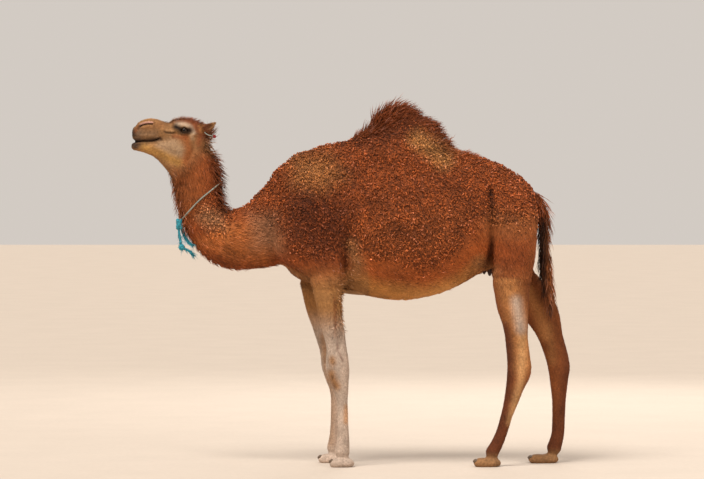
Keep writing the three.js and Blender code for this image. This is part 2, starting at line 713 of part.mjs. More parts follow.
function build() {
  const pieces = {};
  for (const name of Object.keys(SEATED)) pieces[name] = ball(SEATED[name]);
  const socket = (name) => ball(SEATED[name], PART_GAP);

  const tailRings = ringsAcross(LINKS.tail, 2);
  tailRings[0].reach = TUCK;
  let body = trunkSkin().add(humpSkin()).add(neckSkin()).add(headSkin());
  body = body.add(skinned(tailField, tailRings, 10, [10, 20]));
  for (const name of Object.keys(LEG_BOXES)) body = body.add(legSkin(name));
  for (const [name, side] of [["left", -1], ["right", 1]]) {
    const cut = {
      point: turned([EAR_CUT.point[0], side * EAR_CUT.point[1], EAR_CUT.point[2]]),
      normal: [EAR_CUT.normal[0], side * EAR_CUT.normal[1], EAR_CUT.normal[2]],
    };
    const whole = earSkin(side, 0);
    pieces[`ear_${name}`] = whole.intersect(outer(cut));
    const room = earSkin(side, PART_GAP).intersect(block(cut.point, cut.normal, -HALF_GAP));
    body = body.subtract(room).add(whole.intersect(inner(cut)));
  }
  for (const name of Object.keys(SEATED)) body = body.subtract(socket(name));

  const front = body.intersect(outer(NECK_CUT));
  pieces.head = front.intersect(outer(HEAD_CUT));
  pieces.neck = front.intersect(inner(HEAD_CUT));
  let rest = body.intersect(inner(NECK_CUT));
  const tailSide = box([1060, -60, 800], [1300, 60, 1700]);
  pieces.tail = rest.intersect(outer(TAIL_CUT)).intersect(tailSide);
  rest = rest.subtract(block(TAIL_CUT.point, TAIL_CUT.normal, -HALF_GAP).intersect(tailSide));
  for (const name of Object.keys(LEG_BOXES)) {
    pieces[name] = rest.intersect(legBox(name, -HALF_GAP));
    rest = rest.subtract(legBox(name, HALF_GAP));
  }
  pieces.trunk = rest;

  const strap = (grow) => tube(TAG_STRAP, ...TAG_STRAP_HALF.map((half) => half + grow));
  pieces.ear_left = pieces.ear_left.subtract(strap(PART_GAP));
  pieces.head = pieces.head.subtract(strap(PART_GAP));
  pieces.ear_tag_strap = strap(0).subtract(ball(TAG_BUTTON, PART_GAP));
  pieces.ear_tag_button = ball(TAG_BUTTON);

  const loop = neckLoop();
  const round = (radius) => tube(loop, radius, radius, { steps: LOOP_POINTS });
  pieces.neck = pieces.neck.subtract(round(CORD_RADIUS + PART_GAP));
  pieces.neck_cord = round(CORD_RADIUS).subtract(knot(UPPER_KNOT, PART_GAP));
  pieces.rope_knot_upper = knot(UPPER_KNOT).subtract(pieces.neck);
  pieces.rope_knot_lower = knot(LOWER_KNOT);
  const knots = knot(UPPER_KNOT, PART_GAP).add(knot(LOWER_KNOT, PART_GAP));
  const strand = (route) => tube(route, STRAND_RADIUS, STRAND_RADIUS).subtract(knots);
  pieces.rope_strand = strand(ROPE.slice(0, ROPE_AT_KNOT + 1));
  pieces.rope_loose_end = strand(ROPE.slice(ROPE_AT_KNOT));
  pieces.rope_flap = tube(FLAP, ...FLAP_HALF).subtract(knots);
  return pieces;
}

// ---- Looks
const LOOKS = {
  coat: { color: 0x8a4a28, roughness: 0.95 },
  pale: { color: 0xb89a84, roughness: 0.9 },
  eye: { color: 0x1c110c, roughness: 0.12 },
  horn: { color: 0x5a4636, roughness: 0.6 },
  dark_skin: { color: 0x4a342a, roughness: 0.8 },
  cord: { color: 0xb5a08c, roughness: 0.85 },
  rope: { color: 0x3f8f96, roughness: 0.75 },
  tag: { color: 0x5e1f1c, roughness: 0.45 },
};
function lookOf(name) {
  if (name.startsWith("eye")) return "eye";
  if (name.startsWith("nail")) return "horn";
  if (name.startsWith("teat") || name === "chest_pad") return "dark_skin";
  if (name.startsWith("rope")) return "rope";
  if (name === "ear_tag_button") return "tag";
  if (name === "neck_cord" || name === "ear_tag_strap") return "cord";
  return name.includes("foreleg") ? "pale" : "coat";
}

const camel = new THREE.Group();
for (const [name, made] of Object.entries(build())) {
  const faces = made.getMesh();
  const geometry = new THREE.BufferGeometry();
  geometry.setAttribute("position", new THREE.BufferAttribute(faces.vertProperties, 3));
  geometry.setIndex(new THREE.BufferAttribute(faces.triVerts, 1));
  geometry.computeVertexNormals();
  const material = new THREE.MeshStandardMaterial({ ...LOOKS[lookOf(name)], metalness: 0 });
  const mesh = new THREE.Mesh(geometry, material);
  mesh.name = name;
  camel.add(mesh);
}

export default camel;
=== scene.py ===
"""A life-size museum model of a dromedary cow, facing -X, with her left side towards -Y.

Metres, +Z up. One smooth field gives her outline out to the tips of the coat. The skin lies
inside it by the coat's depth, and the coat's locks and curls are grown over the skin.
"""

import json
import math

import bpy
import numpy as np
import openvdb
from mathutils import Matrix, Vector

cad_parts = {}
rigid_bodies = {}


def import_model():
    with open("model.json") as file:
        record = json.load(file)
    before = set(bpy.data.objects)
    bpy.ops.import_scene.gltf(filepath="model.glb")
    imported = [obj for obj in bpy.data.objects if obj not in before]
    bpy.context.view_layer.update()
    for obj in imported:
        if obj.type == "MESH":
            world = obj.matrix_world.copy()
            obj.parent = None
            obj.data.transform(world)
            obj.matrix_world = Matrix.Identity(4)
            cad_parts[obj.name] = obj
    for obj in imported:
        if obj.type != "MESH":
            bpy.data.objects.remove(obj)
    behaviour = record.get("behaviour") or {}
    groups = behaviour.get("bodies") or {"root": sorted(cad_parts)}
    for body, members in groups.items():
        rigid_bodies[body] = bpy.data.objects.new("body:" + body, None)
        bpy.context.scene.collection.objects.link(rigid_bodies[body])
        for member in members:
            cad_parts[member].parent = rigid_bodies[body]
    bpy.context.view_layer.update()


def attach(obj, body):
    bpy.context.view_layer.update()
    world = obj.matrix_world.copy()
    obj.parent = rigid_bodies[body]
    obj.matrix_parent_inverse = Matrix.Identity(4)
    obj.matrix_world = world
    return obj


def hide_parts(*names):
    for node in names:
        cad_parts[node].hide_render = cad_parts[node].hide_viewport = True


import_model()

# ---- Runs: sections (x, y, z, a, b), with a the half thickness across the run and b along Y
RUNS = {
    "trunk": [
        (-0.29, 0, 1.478, 0.35, 0.178), (-0.15, 0, 1.472, 0.405, 0.222), (0, 0, 1.458, 0.438, 0.262),
        (0.15, 0, 1.433, 0.46, 0.296), (0.3, 0, 1.418, 0.466, 0.314), (0.45, 0, 1.426, 0.444, 0.306),
        (0.57, 0, 1.446, 0.404, 0.284), (0.69, 0, 1.47, 0.354, 0.254), (0.8, 0, 1.475, 0.3, 0.226),
        (0.9, 0, 1.462, 0.25, 0.196), (0.972, 0, 1.446, 0.204, 0.162),
    ],
    "hump": [
        (0.278, 0, 1.78, 0.306, 0.215), (0.292, 0, 1.86, 0.296, 0.178), (0.296, 0, 1.93, 0.248, 0.134),
        (0.292, 0, 1.97, 0.216, 0.11), (0.29, 0, 2.008, 0.182, 0.088), (0.292, 0, 2.044, 0.134, 0.064),
    ],
    "neck": [
        (-0.3, 0, 1.455, 0.296, 0.172), (-0.42, 0, 1.393, 0.232, 0.15), (-0.5, 0, 1.348, 0.208, 0.134),
        (-0.6, 0, 1.322, 0.188, 0.117), (-0.69, 0, 1.31, 0.18, 0.106), (-0.76, 0, 1.325, 0.161, 0.1),
        (-0.815, 0, 1.365, 0.142, 0.095), (-0.852, 0, 1.425, 0.134, 0.091), (-0.878, 0, 1.5, 0.135, 0.088),
        (-0.897, 0, 1.58, 0.138, 0.086), (-0.903, 0, 1.66, 0.142, 0.086), (-0.914, 0, 1.73, 0.14, 0.086),
        (-0.928, 0, 1.795, 0.112, 0.084), (-0.922, 0, 1.858, 0.076, 0.076),
    ],
    "blade": [
        (-0.11, 0.07, 1.76, 0.105, 0.062), (-0.19, 0.118, 1.6, 0.128, 0.084),
        (-0.27, 0.14, 1.43, 0.14, 0.092), (-0.31, 0.142, 1.31, 0.128, 0.088),
    ],
    "arm": [
        (-0.345, 0.132, 1.295, 0.122, 0.084), (-0.26, 0.152, 1.23, 0.128, 0.088),
        (-0.16, 0.16, 1.17, 0.116, 0.08), (-0.146, 0.164, 1.09, 0.104, 0.07),
    ],
    "thigh": [
        (0.905, 0.092, 1.58, 0.138, 0.092), (0.938, 0.132, 1.45, 0.143, 0.104),
        (0.937, 0.146, 1.33, 0.142, 0.104), (0.934, 0.15, 1.22, 0.136, 0.096),
        (0.926, 0.15, 1.12, 0.124, 0.084),
    ],
    "left_foreleg": [
        (-0.143, 0.164, 1.06, 0.102, 0.068), (-0.134, 0.164, 0.96, 0.082, 0.058),
        (-0.112, 0.163, 0.815, 0.07, 0.05), (-0.091, 0.162, 0.7, 0.061, 0.046),
        (-0.086, 0.162, 0.625, 0.069, 0.053), (-0.083, 0.162, 0.562, 0.071, 0.055),
        (-0.073, 0.162, 0.506, 0.06, 0.049), (-0.061, 0.162, 0.448, 0.044, 0.039),
        (-0.057, 0.162, 0.378, 0.035, 0.033), (-0.052, 0.162, 0.262, 0.034, 0.032),
        (-0.052, 0.162, 0.15, 0.04, 0.038), (-0.056, 0.162, 0.088, 0.046, 0.045),
    ],
    "right_foreleg": [
        (-0.214, 0.164, 1.06, 0.1, 0.068), (-0.196, 0.164, 0.915, 0.079, 0.056),
        (-0.175, 0.163, 0.83, 0.07, 0.05), (-0.151, 0.162, 0.738, 0.063, 0.046),
        (-0.124, 0.162, 0.66, 0.068, 0.052), (-0.111, 0.162, 0.575, 0.071, 0.055),
        (-0.101, 0.162, 0.506, 0.061, 0.049), (-0.094, 0.162, 0.44, 0.044, 0.039),
        (-0.092, 0.162, 0.378, 0.035, 0.033), (-0.094, 0.162, 0.262, 0.034, 0.032),
        (-0.096, 0.162, 0.15, 0.04, 0.038), (-0.104, 0.162, 0.088, 0.046, 0.045),
    ],
    "left_hind_leg": [
        (0.92, 0.15, 1.064, 0.116, 0.078), (0.93, 0.148, 0.93, 0.098, 0.066),
        (0.944, 0.146, 0.83, 0.078, 0.052), (0.952, 0.144, 0.73, 0.069, 0.044),
        (0.964, 0.142, 0.62, 0.071, 0.045), (0.968, 0.141, 0.56, 0.074, 0.049),
        (0.958, 0.14, 0.515, 0.068, 0.047), (0.942, 0.14, 0.46, 0.056, 0.041),
        (0.921, 0.14, 0.38, 0.046, 0.036), (0.896, 0.14, 0.3, 0.037, 0.032),
        (0.868, 0.14, 0.205, 0.036, 0.032), (0.838, 0.14, 0.13, 0.039, 0.037),
        (0.812, 0.14, 0.084, 0.042, 0.043),
    ],
    "right_hind_leg": [
        (0.968, 0.15, 1.064, 0.122, 0.08), (1.064, 0.148, 0.95, 0.118, 0.068),
        (1.126, 0.146, 0.845, 0.098, 0.054), (1.166, 0.144, 0.73, 0.074, 0.045),
        (1.2, 0.142, 0.62, 0.07, 0.045), (1.212, 0.141, 0.56, 0.068, 0.049),
        (1.212, 0.14, 0.505, 0.06, 0.047), (1.212, 0.14, 0.44, 0.052, 0.041),
        (1.212, 0.14, 0.37, 0.044, 0.036), (1.21, 0.14, 0.262, 0.041, 0.033),
        (1.204, 0.14, 0.16, 0.041, 0.037), (1.184, 0.14, 0.088, 0.046, 0.044),
    ],
    "tail": [
        (0.99, 0, 1.59, 0.042, 0.044), (1.035, 0, 1.572, 0.042, 0.038), (1.083, 0, 1.526, 0.037, 0.032),
        (1.11, 0, 1.455, 0.036, 0.03), (1.117, 0, 1.34, 0.035, 0.03), (1.121, 0, 1.21, 0.035, 0.03),
        (1.134, 0, 1.075, 0.036, 0.03), (1.148, 0, 0.985, 0.03, 0.026), (1.153, 0, 0.925, 0.015, 0.015),
    ],
    "skull": [
        (-0.888, 0, 1.898, 0.088, 0.076), (-0.935, 0, 1.922, 0.092, 0.082), (-0.985, 0, 1.932, 0.09, 0.084),
        (-1.028, 0, 1.935, 0.078, 0.074), (-1.068, 0, 1.935, 0.062, 0.06), (-1.112, 0, 1.944, 0.061, 0.055),
        (-1.165, 0, 1.954, 0.064, 0.056), (-1.203, 0, 1.95, 0.06, 0.054), (-1.236, 0, 1.932, 0.046, 0.048),
    ],
    "jaw": [
        (-0.965, 0, 1.85, 0.088, 0.068), (-1.03, 0, 1.845, 0.082, 0.062), (-1.095, 0, 1.84, 0.065, 0.051),
        (-1.15, 0, 1.837, 0.044, 0.043), (-1.205, 0, 1.847, 0.033, 0.039), (-1.26, 0, 1.852, 0.025, 0.034),
    ],
    "throat": [
        (-1.112, 0, 1.806, 0.036, 0.038), (-1.052, 0, 1.768, 0.064, 0.058),
        (-0.985, 0, 1.725, 0.092, 0.076),
    ],
    "ear": [
        (-0.872, 0.062, 1.938, 0.024, 0.013), (-0.846, 0.076, 1.954, 0.024, 0.013),
        (-0.818, 0.086, 1.976, 0.015, 0.009), (-0.803, 0.09, 1.99, 0.005, 0.004),
    ],
}
ROPE = [
    (-1.005, -0.026, 1.376), (-1.005, -0.026, 1.362), (-1.004, -0.027, 1.348), (-1.002, -0.027, 1.334),
    (-1, -0.028, 1.32), (-0.997, -0.029, 1.306), (-0.994, -0.03, 1.292), (-0.991, -0.03, 1.279),
    (-0.987, -0.03, 1.267), (-0.977, -0.03, 1.261), (-0.967, -0.029, 1.256), (-0.957, -0.029, 1.251),
    (-0.948, -0.029, 1.245), (-0.94, -0.028, 1.238), (-0.933, -0.028, 1.23),
]
FLAP = [
    (-0.994, -0.01, 1.384), (-0.991, -0.009, 1.376), (-0.988, -0.008, 1.368), (-0.985, -0.007, 1.36),
    (-0.982, -0.006, 1.352), (-0.979, -0.006, 1.344), (-0.976, -0.006, 1.336), (-0.972, -0.007, 1.328),
    (-0.968, -0.009, 1.32), (-0.963, -0.012, 1.312), (-0.958, -0.016, 1.305), (-0.953, -0.02, 1.298),
    (-0.947, -0.024, 1.292), (-0.941, -0.028, 1.287), (-0.935, -0.032, 1.283),
]
END_CAPS = {"trunk": (0.178, 0.07), "thigh": (0.05, 0.084), "arm": (0.08, 0.07), "skull": (0.06, 0.042)}
# Swellings: centre, half sizes.
BROW = (-0.98, 0.066, 1.962), (0.052, 0.03, 0.03)
UPPER_LIP = (-1.247, 0, 1.909), (0.03, 0.04, 0.027)
CHEEK = (-0.985, 0.04, 1.848), (0.072, 0.036, 0.074)
UDDER = (0.76, 0, 1.18), (0.11, 0.092, 0.068)
BRISKET = (-0.15, 0, 1.16), (0.23, 0.12, 0.12)
EAR_HOLLOW = (-0.832, 0.098, 1.966, 0.030, 0.015, 0.012)  # centre, half sizes
EAR_TILT = 0.62
PAD_HALF_WIDTH = 0.06
PAD_HALF_HEIGHT = 0.037
PAD_CENTRE_Z = 0.02
TOE_SPREAD = 0.03
TOE_HALF_WIDTH = 0.033
# Feet: x of the heel, x of the toes and y of the middle.
FEET = {
    "left_foreleg": (0.018, -0.134, -0.162),
    "right_foreleg": (-0.03, -0.202, 0.162),
    "left_hind_leg": (0.866, 0.7, -0.14),
    "right_hind_leg": (1.214, 1.03, 0.14),
}
HEAD_TURN = math.radians(7)
HEAD_PIVOT = (-0.9, 0, 1.9)
EYE = (-0.979, 0.074, 1.943)
EYE_RADIUS = 0.021
LID_THICKNESS = 0.0028

# ---- Distances
STEPS_PER_SECTION = 3
JOINT_CAP = 0.35
FAR = 0.3  # what a run's distance is taken to be well away from it
RUN_MARGIN = 0.1
SLAB = 0.15
SLAB_POINTS = 12000


def curve_points(points, count):
    """count + 1 points along the centripetal curve through points."""
    points = np.array(points, float)
    first = 2 * points[0] - points[1]
    last = 2 * points[-1] - points[-2]
    knots = np.vstack([first, points, last])
    found = []
    for i in range(count + 1):
        place = (len(points) - 1) * i / count
        k = min(int(place), len(points) - 2)
        w = place - k
        p0, p1, p2, p3 = knots[k : k + 4]
        d0, d1, d2 = (math.sqrt(np.linalg.norm(b - a)) for a, b in ((p0, p1), (p1, p2), (p2, p3)))
        d1 = d1 or 1.0
        d0, d2 = d0 or d1, d2 or d1
        t1 = ((p1 - p0) / d0 - (p2 - p0) / (d0 + d1) + (p2 - p1) / d1) * d1
        t2 = ((p2 - p1) / d1 - (p3 - p1) / (d1 + d2) + (p3 - p2) / d2) * d1
        bend = -3 * p1 + 3 * p2 - 2 * t1 - t2
        twist = 2 * p1 - 2 * p2 + t1 + t2
        found.append(p1 + w * (t1 + w * (bend + w * twist)))
    return np.array(found)


def chain(sections, side, caps):
    """A run's links, filled in along a smooth curve: x, y, z, a, b and how far a round end reaches."""
    rows = np.array(sections, float)
    rows[:, 1] *= side
    count = (len(rows) - 1) * STEPS_PER_SECTION
    path = curve_points(rows[:, :3], count)
    sizes = curve_points(rows[:, 3:], count)
    reach = sizes.min(axis=1) * JOINT_CAP
    reach[0] = caps[0] if caps else sizes[0].min()
    reach[-1] = caps[1] if caps else sizes[-1].min()
    return np.column_stack([path, sizes, reach])


def outside(u, v, w, a, b, c):
    """Roughly how far points lie outside an ellipsoid whose half sizes are a, b and c."""
    reach = np.sqrt((u / a) ** 2 + (v / b) ** 2 + (w / c) ** 2)
    slope = np.sqrt((u / a**2) ** 2 + (v / b**2) ** 2 + (w / c**2) ** 2)
    return reach * (reach - 1) / np.maximum(slope, 1e-6)


def link_boxes(links):
    """The lowest and highest corners of each link, with RUN_MARGIN round it."""
    p, q = links[:-1], links[1:]
    run = (q - p)[:, [0, 2]]
    run = np.abs(run / np.linalg.norm(run, axis=1)[:, None])
    a, b, cap = (np.maximum(p[:, k], q[:, k]) for k in (3, 4, 5))
    size = np.column_stack([run[:, 0] * cap + run[:, 1] * a, b, run[:, 1] * cap + run[:, 0] * a])
    size += RUN_MARGIN
    return np.minimum(p[:, :3], q[:, :3]) - size, np.maximum(p[:, :3], q[:, :3]) + size


def outside_chain(links, p, egg=0.0):
    """How far points lie outside a run, and FAR for those well away from it."""
    found = np.full(len(p), FAR)
    if not len(p):
        return found
    lows, highs = link_boxes(links)
    near = np.flatnonzero(((p > lows.min(axis=0)) & (p < highs.max(axis=0))).all(axis=1))
    if not len(near):
        return found
    x, y, z = p[near].T
    first, last = p[near].min(axis=0), p[near].max(axis=0)
    least = np.full(len(near), FAR)
    for k in np.flatnonzero(((lows < last) & (highs > first)).all(axis=1)):
        (px, py, pz, pa, pb, pc), (qx, qy, qz, qa, qb, qc) = links[k : k + 2]
        dx, dz = qx - px, qz - pz
        length = math.hypot(dx, dz)
        along = ((x - px) * dx + (z - pz) * dz) / length
        t = np.clip(along / length, 0, 1)
        past = along - t * length
        across = ((x - px) * dz - (z - pz) * dx) / length
        a = pa + (qa - pa) * t
        b = pb + (qb - pb) * t
        if egg:
            b = b * (1 - egg * np.clip((z - pz - dz * t) / a, -1, 1))
        side = y - py - (qy - py) * t
        least = np.minimum(least, outside(across, side, past, a, b, np.where(past < 0, pc, qc)))
    found[near] = least
    return found


def in_slabs(field, p):
    """The field at points, worked out in slabs along X so that each meets few links."""
    order = np.lexsort((p[:, 2] // SLAB, p[:, 0] // SLAB))
    found = np.empty(len(p))
    for part in np.array_split(order, max(1, len(p) // SLAB_POINTS)):
        found[part] = field(p[part])
    return found


def joined(first, second, blend):
    """The union of two distances, rounded where they meet over a width of blend."""
    near = np.maximum(0, blend - np.abs(first - second)) / blend
    return np.minimum(first, second) - near**2 * blend * 0.25


def cut_by(field, tool, blend):
    """The field with the tool's inside taken away, with an edge as round as blend."""
    return -joined(-field, tool, blend)


def swelling(shape, p):
    centre, size = shape
    return outside(*(p - centre).T, *size)


def mirrored(p):
    """Points folded onto the half where y is positive."""
    return np.column_stack([p[:, 0], np.abs(p[:, 1]), p[:, 2]])


def turned(p, angle=HEAD_TURN):
    """Points of the head's own plane, turned with the head. A negative angle turns them back."""
    c, s = math.cos(angle), math.sin(angle)
    p = np.atleast_2d(np.array(p, float))
    dx, dy = p[:, 0] - HEAD_PIVOT[0], p[:, 1]
    return np.column_stack([HEAD_PIVOT[0] + dx * c - dy * s, dx * s + dy * c, p[:, 2]])


LINKS = {name: chain(rows, -1 if name.startswith("left") else 1, END_CAPS.get(name))
         for name, rows in RUNS.items()}
LEGS = tuple(FEET)


def upper_head(h):
    d = outside_chain(LINKS["skull"], h)
    d = joined(d, swelling(BROW, mirrored(h)), 0.022)
    return joined(d, swelling(UPPER_LIP, h), 0.014)


def lower_head(h):
    d = outside_chain(LINKS["jaw"], h)
    d = joined(d, swelling(CHEEK, mirrored(h)), 0.03)
    return joined(d, outside_chain(LINKS["throat"], h), 0.03)


def trunk_outline(p):
    sided = mirrored(p)
    d = outside_chain(LINKS["trunk"], p, egg=0.16)
    d = joined(d, outside_chain(LINKS["hump"], p), 0.055)
    d = joined(d, outside_chain(LINKS["blade"], sided), 0.07)
    d = joined(d, outside_chain(LINKS["arm"], sided), 0.06)
    d = joined(d, outside_chain(LINKS["thigh"], sided), 0.06)
    d = joined(d, swelling(UDDER, p), 0.04)
    return joined(d, swelling(BRISKET, p), 0.06)


def foot_outline(name, p):
    heel, toe, middle = FEET[name]
    x, y, z = p.T
    across = np.abs(y - middle)
    half = (heel - toe) / 2
    pad = outside(x - heel + half * 0.8, across, z - PAD_CENTRE_Z,
                  half * 0.8, PAD_HALF_WIDTH, PAD_HALF_HEIGHT)
    tips = outside(x - toe - half * 0.66, across - TOE_SPREAD, z - PAD_CENTRE_Z,
                   half * 0.66, TOE_HALF_WIDTH, PAD_HALF_HEIGHT - 0.003)
    return joined(pad, tips, 0.01)


def leg_outline(name, p):
    return joined(outside_chain(LINKS[name], p), foot_outline(name, p), 0.03)


# ---- Places on her: lines and outlines, most of them seen from the side as (x, z)
def ease(t):
    t = np.clip(t, 0, 1)
    return t * t * (3 - 2 * t)


def line_distance(p, line):
    """How far points are from a line of points, of as many axes."""
    line = np.array(line, float)
    nearest = np.full(len(p), np.inf)
    for a, b in zip(line, line[1:] if len(line) > 1 else line):
        run = b - a
        t = np.clip((p - a) @ run / max(run @ run, 1e-9), 0, 1)
        nearest = np.minimum(nearest, np.linalg.norm(p - a - t[:, None] * run, axis=1))
    return nearest


def falloff(p, line, radius):
    """1 on a line, easing to 0 at radius from it. A line of (x, z) is seen from the side."""
    seen = p if len(line[0]) == 3 else p[:, [0, 2]]
    near = np.flatnonzero(((seen > np.min(line, axis=0) - radius)
                           & (seen < np.max(line, axis=0) + radius)).all(axis=1))
    found = np.zeros(len(p))
    found[near] = ease(1 - line_distance(seen[near], line) / radius)
    return found


def within(p, outline, soft):
    """1 inside an outline of (x, z) points, easing to 0 across a soft edge."""
    seen = p[:, [0, 2]]
    x, z = seen.T
    odd = np.zeros(len(p), bool)
    for (ax, az), (bx, bz) in zip(outline, outline[1:] + outline[:1]):
        if az != bz:
            odd ^= ((az > z) != (bz > z)) & (x < (bx - ax) * (z - az) / (bz - az) + ax)
    distance = line_distance(seen, outline + outline[:1])
    return ease(0.5 + np.where(odd, distance, -distance) / soft)


def beyond(p, point, normal, soft):
    """0 behind a plane, easing to 1 in front of it."""
    normal = np.array(normal, float) / np.linalg.norm(normal)
    return ease(0.5 + (p - point) @ normal / soft)


HEAD_PLANE = (-0.95, 0, 1.77), (-0.587, 0, 0.809)
NECK_PLANE = (-0.43, 0, 1.43), (-1, 0, 0.12)
NAPE = [(-0.85, 0, 1.9), (-0.79, 0, 1.8), (-0.765, 0, 1.7), (-0.757, 0, 1.6), (-0.752, 0, 1.53)]
THROAT_LINE = [(-1.08, 0, 1.71), (-1.045, 0, 1.62), (-1.005, 0, 1.5), (-0.97, 0, 1.4)]
CROWN = [(-1.05, 0, 2.0), (-0.95, 0, 2.02), (-0.875, 0, 1.99), (-0.83, 0, 1.93)]
CREST = [(0.1, 0, 1.95), (0.18, 0, 2.0), (0.29, 0, 2.07), (0.42, 0, 1.99), (0.5, 0, 1.92)]

# Seen from the side in the head's own plane.
MUZZLE = [(-1.27, 1.92), (-1.22, 1.86)]
NOSTRIL = [(-1.234, 1.968), (-1.213, 1.978), (-1.188, 1.982), (-1.164, 1.981)]
MOUTH = [(-1.28, 1.877), (-1.255, 1.88), (-1.22, 1.883), (-1.18, 1.883), (-1.15, 1.887), (-1.126, 1.899)]

# Ridges and grooves of the head: line, radius, height.
HEAD_RELIEF = [
    ([(-1.236, 1.984), (-1.2, 1.994), (-1.158, 1.993)], 0.014, 0.005),  # fold over the nostril
    (NOSTRIL, 0.0075, -0.012),
    (MOUTH, 0.0075, -0.008),
    (MOUTH[:2], 0.013, -0.012),
    ([(-1.268, 1.9), (-1.2, 1.898), (-1.13, 1.905)], 0.012, 0.003),  # edge of the upper lip
    ([(-1.27, 1.866), (-1.2, 1.872), (-1.13, 1.876)], 0.012, 0.003),  # edge of the lower lip
    ([(-1.225, 1.961), (-1.19, 1.965)], 0.012, 0.003),
    ([(-1.262, 1.918), (-1.215, 1.912), (-1.16, 1.914)], 0.016, 0.004),  # upper lip
    ([(-1.118, 1.902), (-1.108, 1.884)], 0.010, -0.005),  # corner of the mouth
    ([(-1.1, 1.953), (-1.06, 1.945), (-1.02, 1.944)], 0.018, 0.004),  # crest of the cheek
    ([(-1.077, 1.933), (-1.052, 1.927), (-1.029, 1.926)], 0.012, -0.005),
    ([(-1.014, 1.921), (-0.978, 1.914), (-0.95, 1.921)], 0.011, -0.003),  # fold under the eye
    ([(-1.022, 1.962), (-0.985, 1.983), (-0.945, 1.972)], 0.012, -0.0025),  # fold over the lid
    ([(-0.925, 1.975), (-0.9, 1.955)], 0.03, -0.006),  # temple
    ([(-1.163, 1.853), (-1.087, 1.803), (-1.012, 1.77)], 0.02, 0.004),  # edge of the jaw
    ([(-1.1, 1.845), (-1.04, 1.815)], 0.022, -0.004),
    ([(-1.045, 1.9), (-1.022, 1.855), (-1.03, 1.81)], 0.016, -0.003),  # front of the cheek muscle
    ([(-0.915, 1.9), (-0.928, 1.83), (-0.955, 1.775)], 0.026, -0.007),  # behind the jaw
]
FLANK_FOLD = [(0.8, 1.6), (0.808, 1.45), (0.806, 1.3), (0.8, 1.14)]
# Ridges and grooves of the body: line, radius, height, and side: -1 left, 1 right, 0 both.
BODY_RELIEF = [
    (FLANK_FOLD, 0.035, -0.026, 0),
    ([(0.86, 1.5), (0.875, 1.3)], 0.07, 0.008, 0),
    ([(-0.025, 1.38), (-0.03, 1.27), (-0.042, 1.15)], 0.035, -0.018, 0),  # behind the elbow
    ([(-0.085, 1.3), (-0.075, 1.15), (-0.06, 1.08)], 0.04, 0.008, 0),  # elbow
    ([(-0.335, 1.16), (-0.28, 1.11), (-0.24, 1.04)], 0.03, -0.009, 0),  # breast muscle
    ([(-0.99, 1.62), (-0.965, 1.5), (-0.92, 1.4), (-0.84, 1.3), (-0.7, 1.24), (-0.55, 1.21)],
     0.04, -0.007, 0),  # groove along the neck
    ([(-0.78, 1.45), (-0.7, 1.38), (-0.55, 1.4)], 0.07, 0.006, 0),
    ([(-0.21, 1.62), (-0.26, 1.45), (-0.3, 1.32)], 0.05, 0.007, 0),  # ridge of the shoulder blade
    ([(-0.044, 0.43), (-0.042, 0.12)], 0.011, -0.004, -1),  # tendons
    ([(-0.086, 0.43), (-0.086, 0.12)], 0.011, -0.004, 1),
    ([(0.93, 0.45), (0.885, 0.25), (0.85, 0.14)], 0.012, -0.004, -1),
    ([(1.222, 0.45), (1.216, 0.16)], 0.012, -0.004, 1),
    ([(-0.055, 0.98), (-0.06, 0.8), (-0.07, 0.68)], 0.02, -0.006, -1),  # forearm muscle
    ([(-0.155, 0.98), (-0.14, 0.84), (-0.115, 0.7)], 0.02, -0.006, 1),
    ([(0.975, 0.98), (0.985, 0.82), (0.995, 0.66)], 0.018, -0.006, -1),  # hamstring over the hock
    ([(1.16, 0.95), (1.195, 0.82), (1.22, 0.68)], 0.018, -0.006, 1),
    ([(0.905, 1.0), (0.92, 0.88)], 0.03, 0.005, -1),  # stifle
]


def relief(p, h):
    """How far ridges stand out and grooves cut in."""
    found = np.zeros(len(p))
    on_head = np.flatnonzero(h[:, 0] < -0.86)
    side = np.abs(h[on_head, 1]) > 0.008
    for line, radius, height in HEAD_RELIEF:
        found[on_head] += height * falloff(h[on_head], line, radius) * side
    for line, radius, height, where in BODY_RELIEF:
        side = p[:, 1] * where > 0 if where else np.abs(p[:, 1]) > 0.05
        found += height * falloff(p, line, radius) * side
    return found


def head_share(p):
    return beyond(p, *HEAD_PLANE, 0.08)


WOOL_DEPTH = 0.013
LEG_DEPTH = 0.0045
NECK_DEPTH = 0.0075
HEAD_DEPTH = 0.004
MUZZLE_DEPTH = 0.0012


def coat_depth(p, h):
    """How far the skin lies inside the coat's tips: most under wool, and more where hair is long."""
    low = ease((1.16 - p[:, 2]) / 0.3)
    depth = WOOL_DEPTH + (LEG_DEPTH - WOOL_DEPTH) * low
    depth += (NECK_DEPTH - depth) * beyond(p, *NECK_PLANE, 0.2)
    depth += (HEAD_DEPTH - depth) * head_share(p)
    depth += (MUZZLE_DEPTH - depth) * falloff(h, MUZZLE, 0.1)
    depth += 0.012 * falloff(p, NAPE, 0.07) + 0.007 * falloff(p, THROAT_LINE, 0.07)
    depth += 0.008 * falloff(p, CROWN, 0.08) + 0.022 * falloff(p, CREST, 0.15)
    return depth


# The eye's own directions: out of the head, up, and along the slit.
EYE_OUT = np.array(Vector((-0.25, 0.95, 0.12)).normalized())
EYE_UP = np.array(Vector((0.06, -0.11, 1)).normalized())
EYE_UP -= EYE_OUT * (EYE_UP @ EYE_OUT)
EYE_UP /= np.linalg.norm(EYE_UP)
EYE_ALONG = np.cross(EYE_OUT, EYE_UP)
SLIT_HALF_LENGTH = 0.023
SLIT_HALF_HEIGHT = 0.0175
LIP_FILL = 0.045  # over how wide a gap the lips close the mouth
LIP_FRONT = -1.27


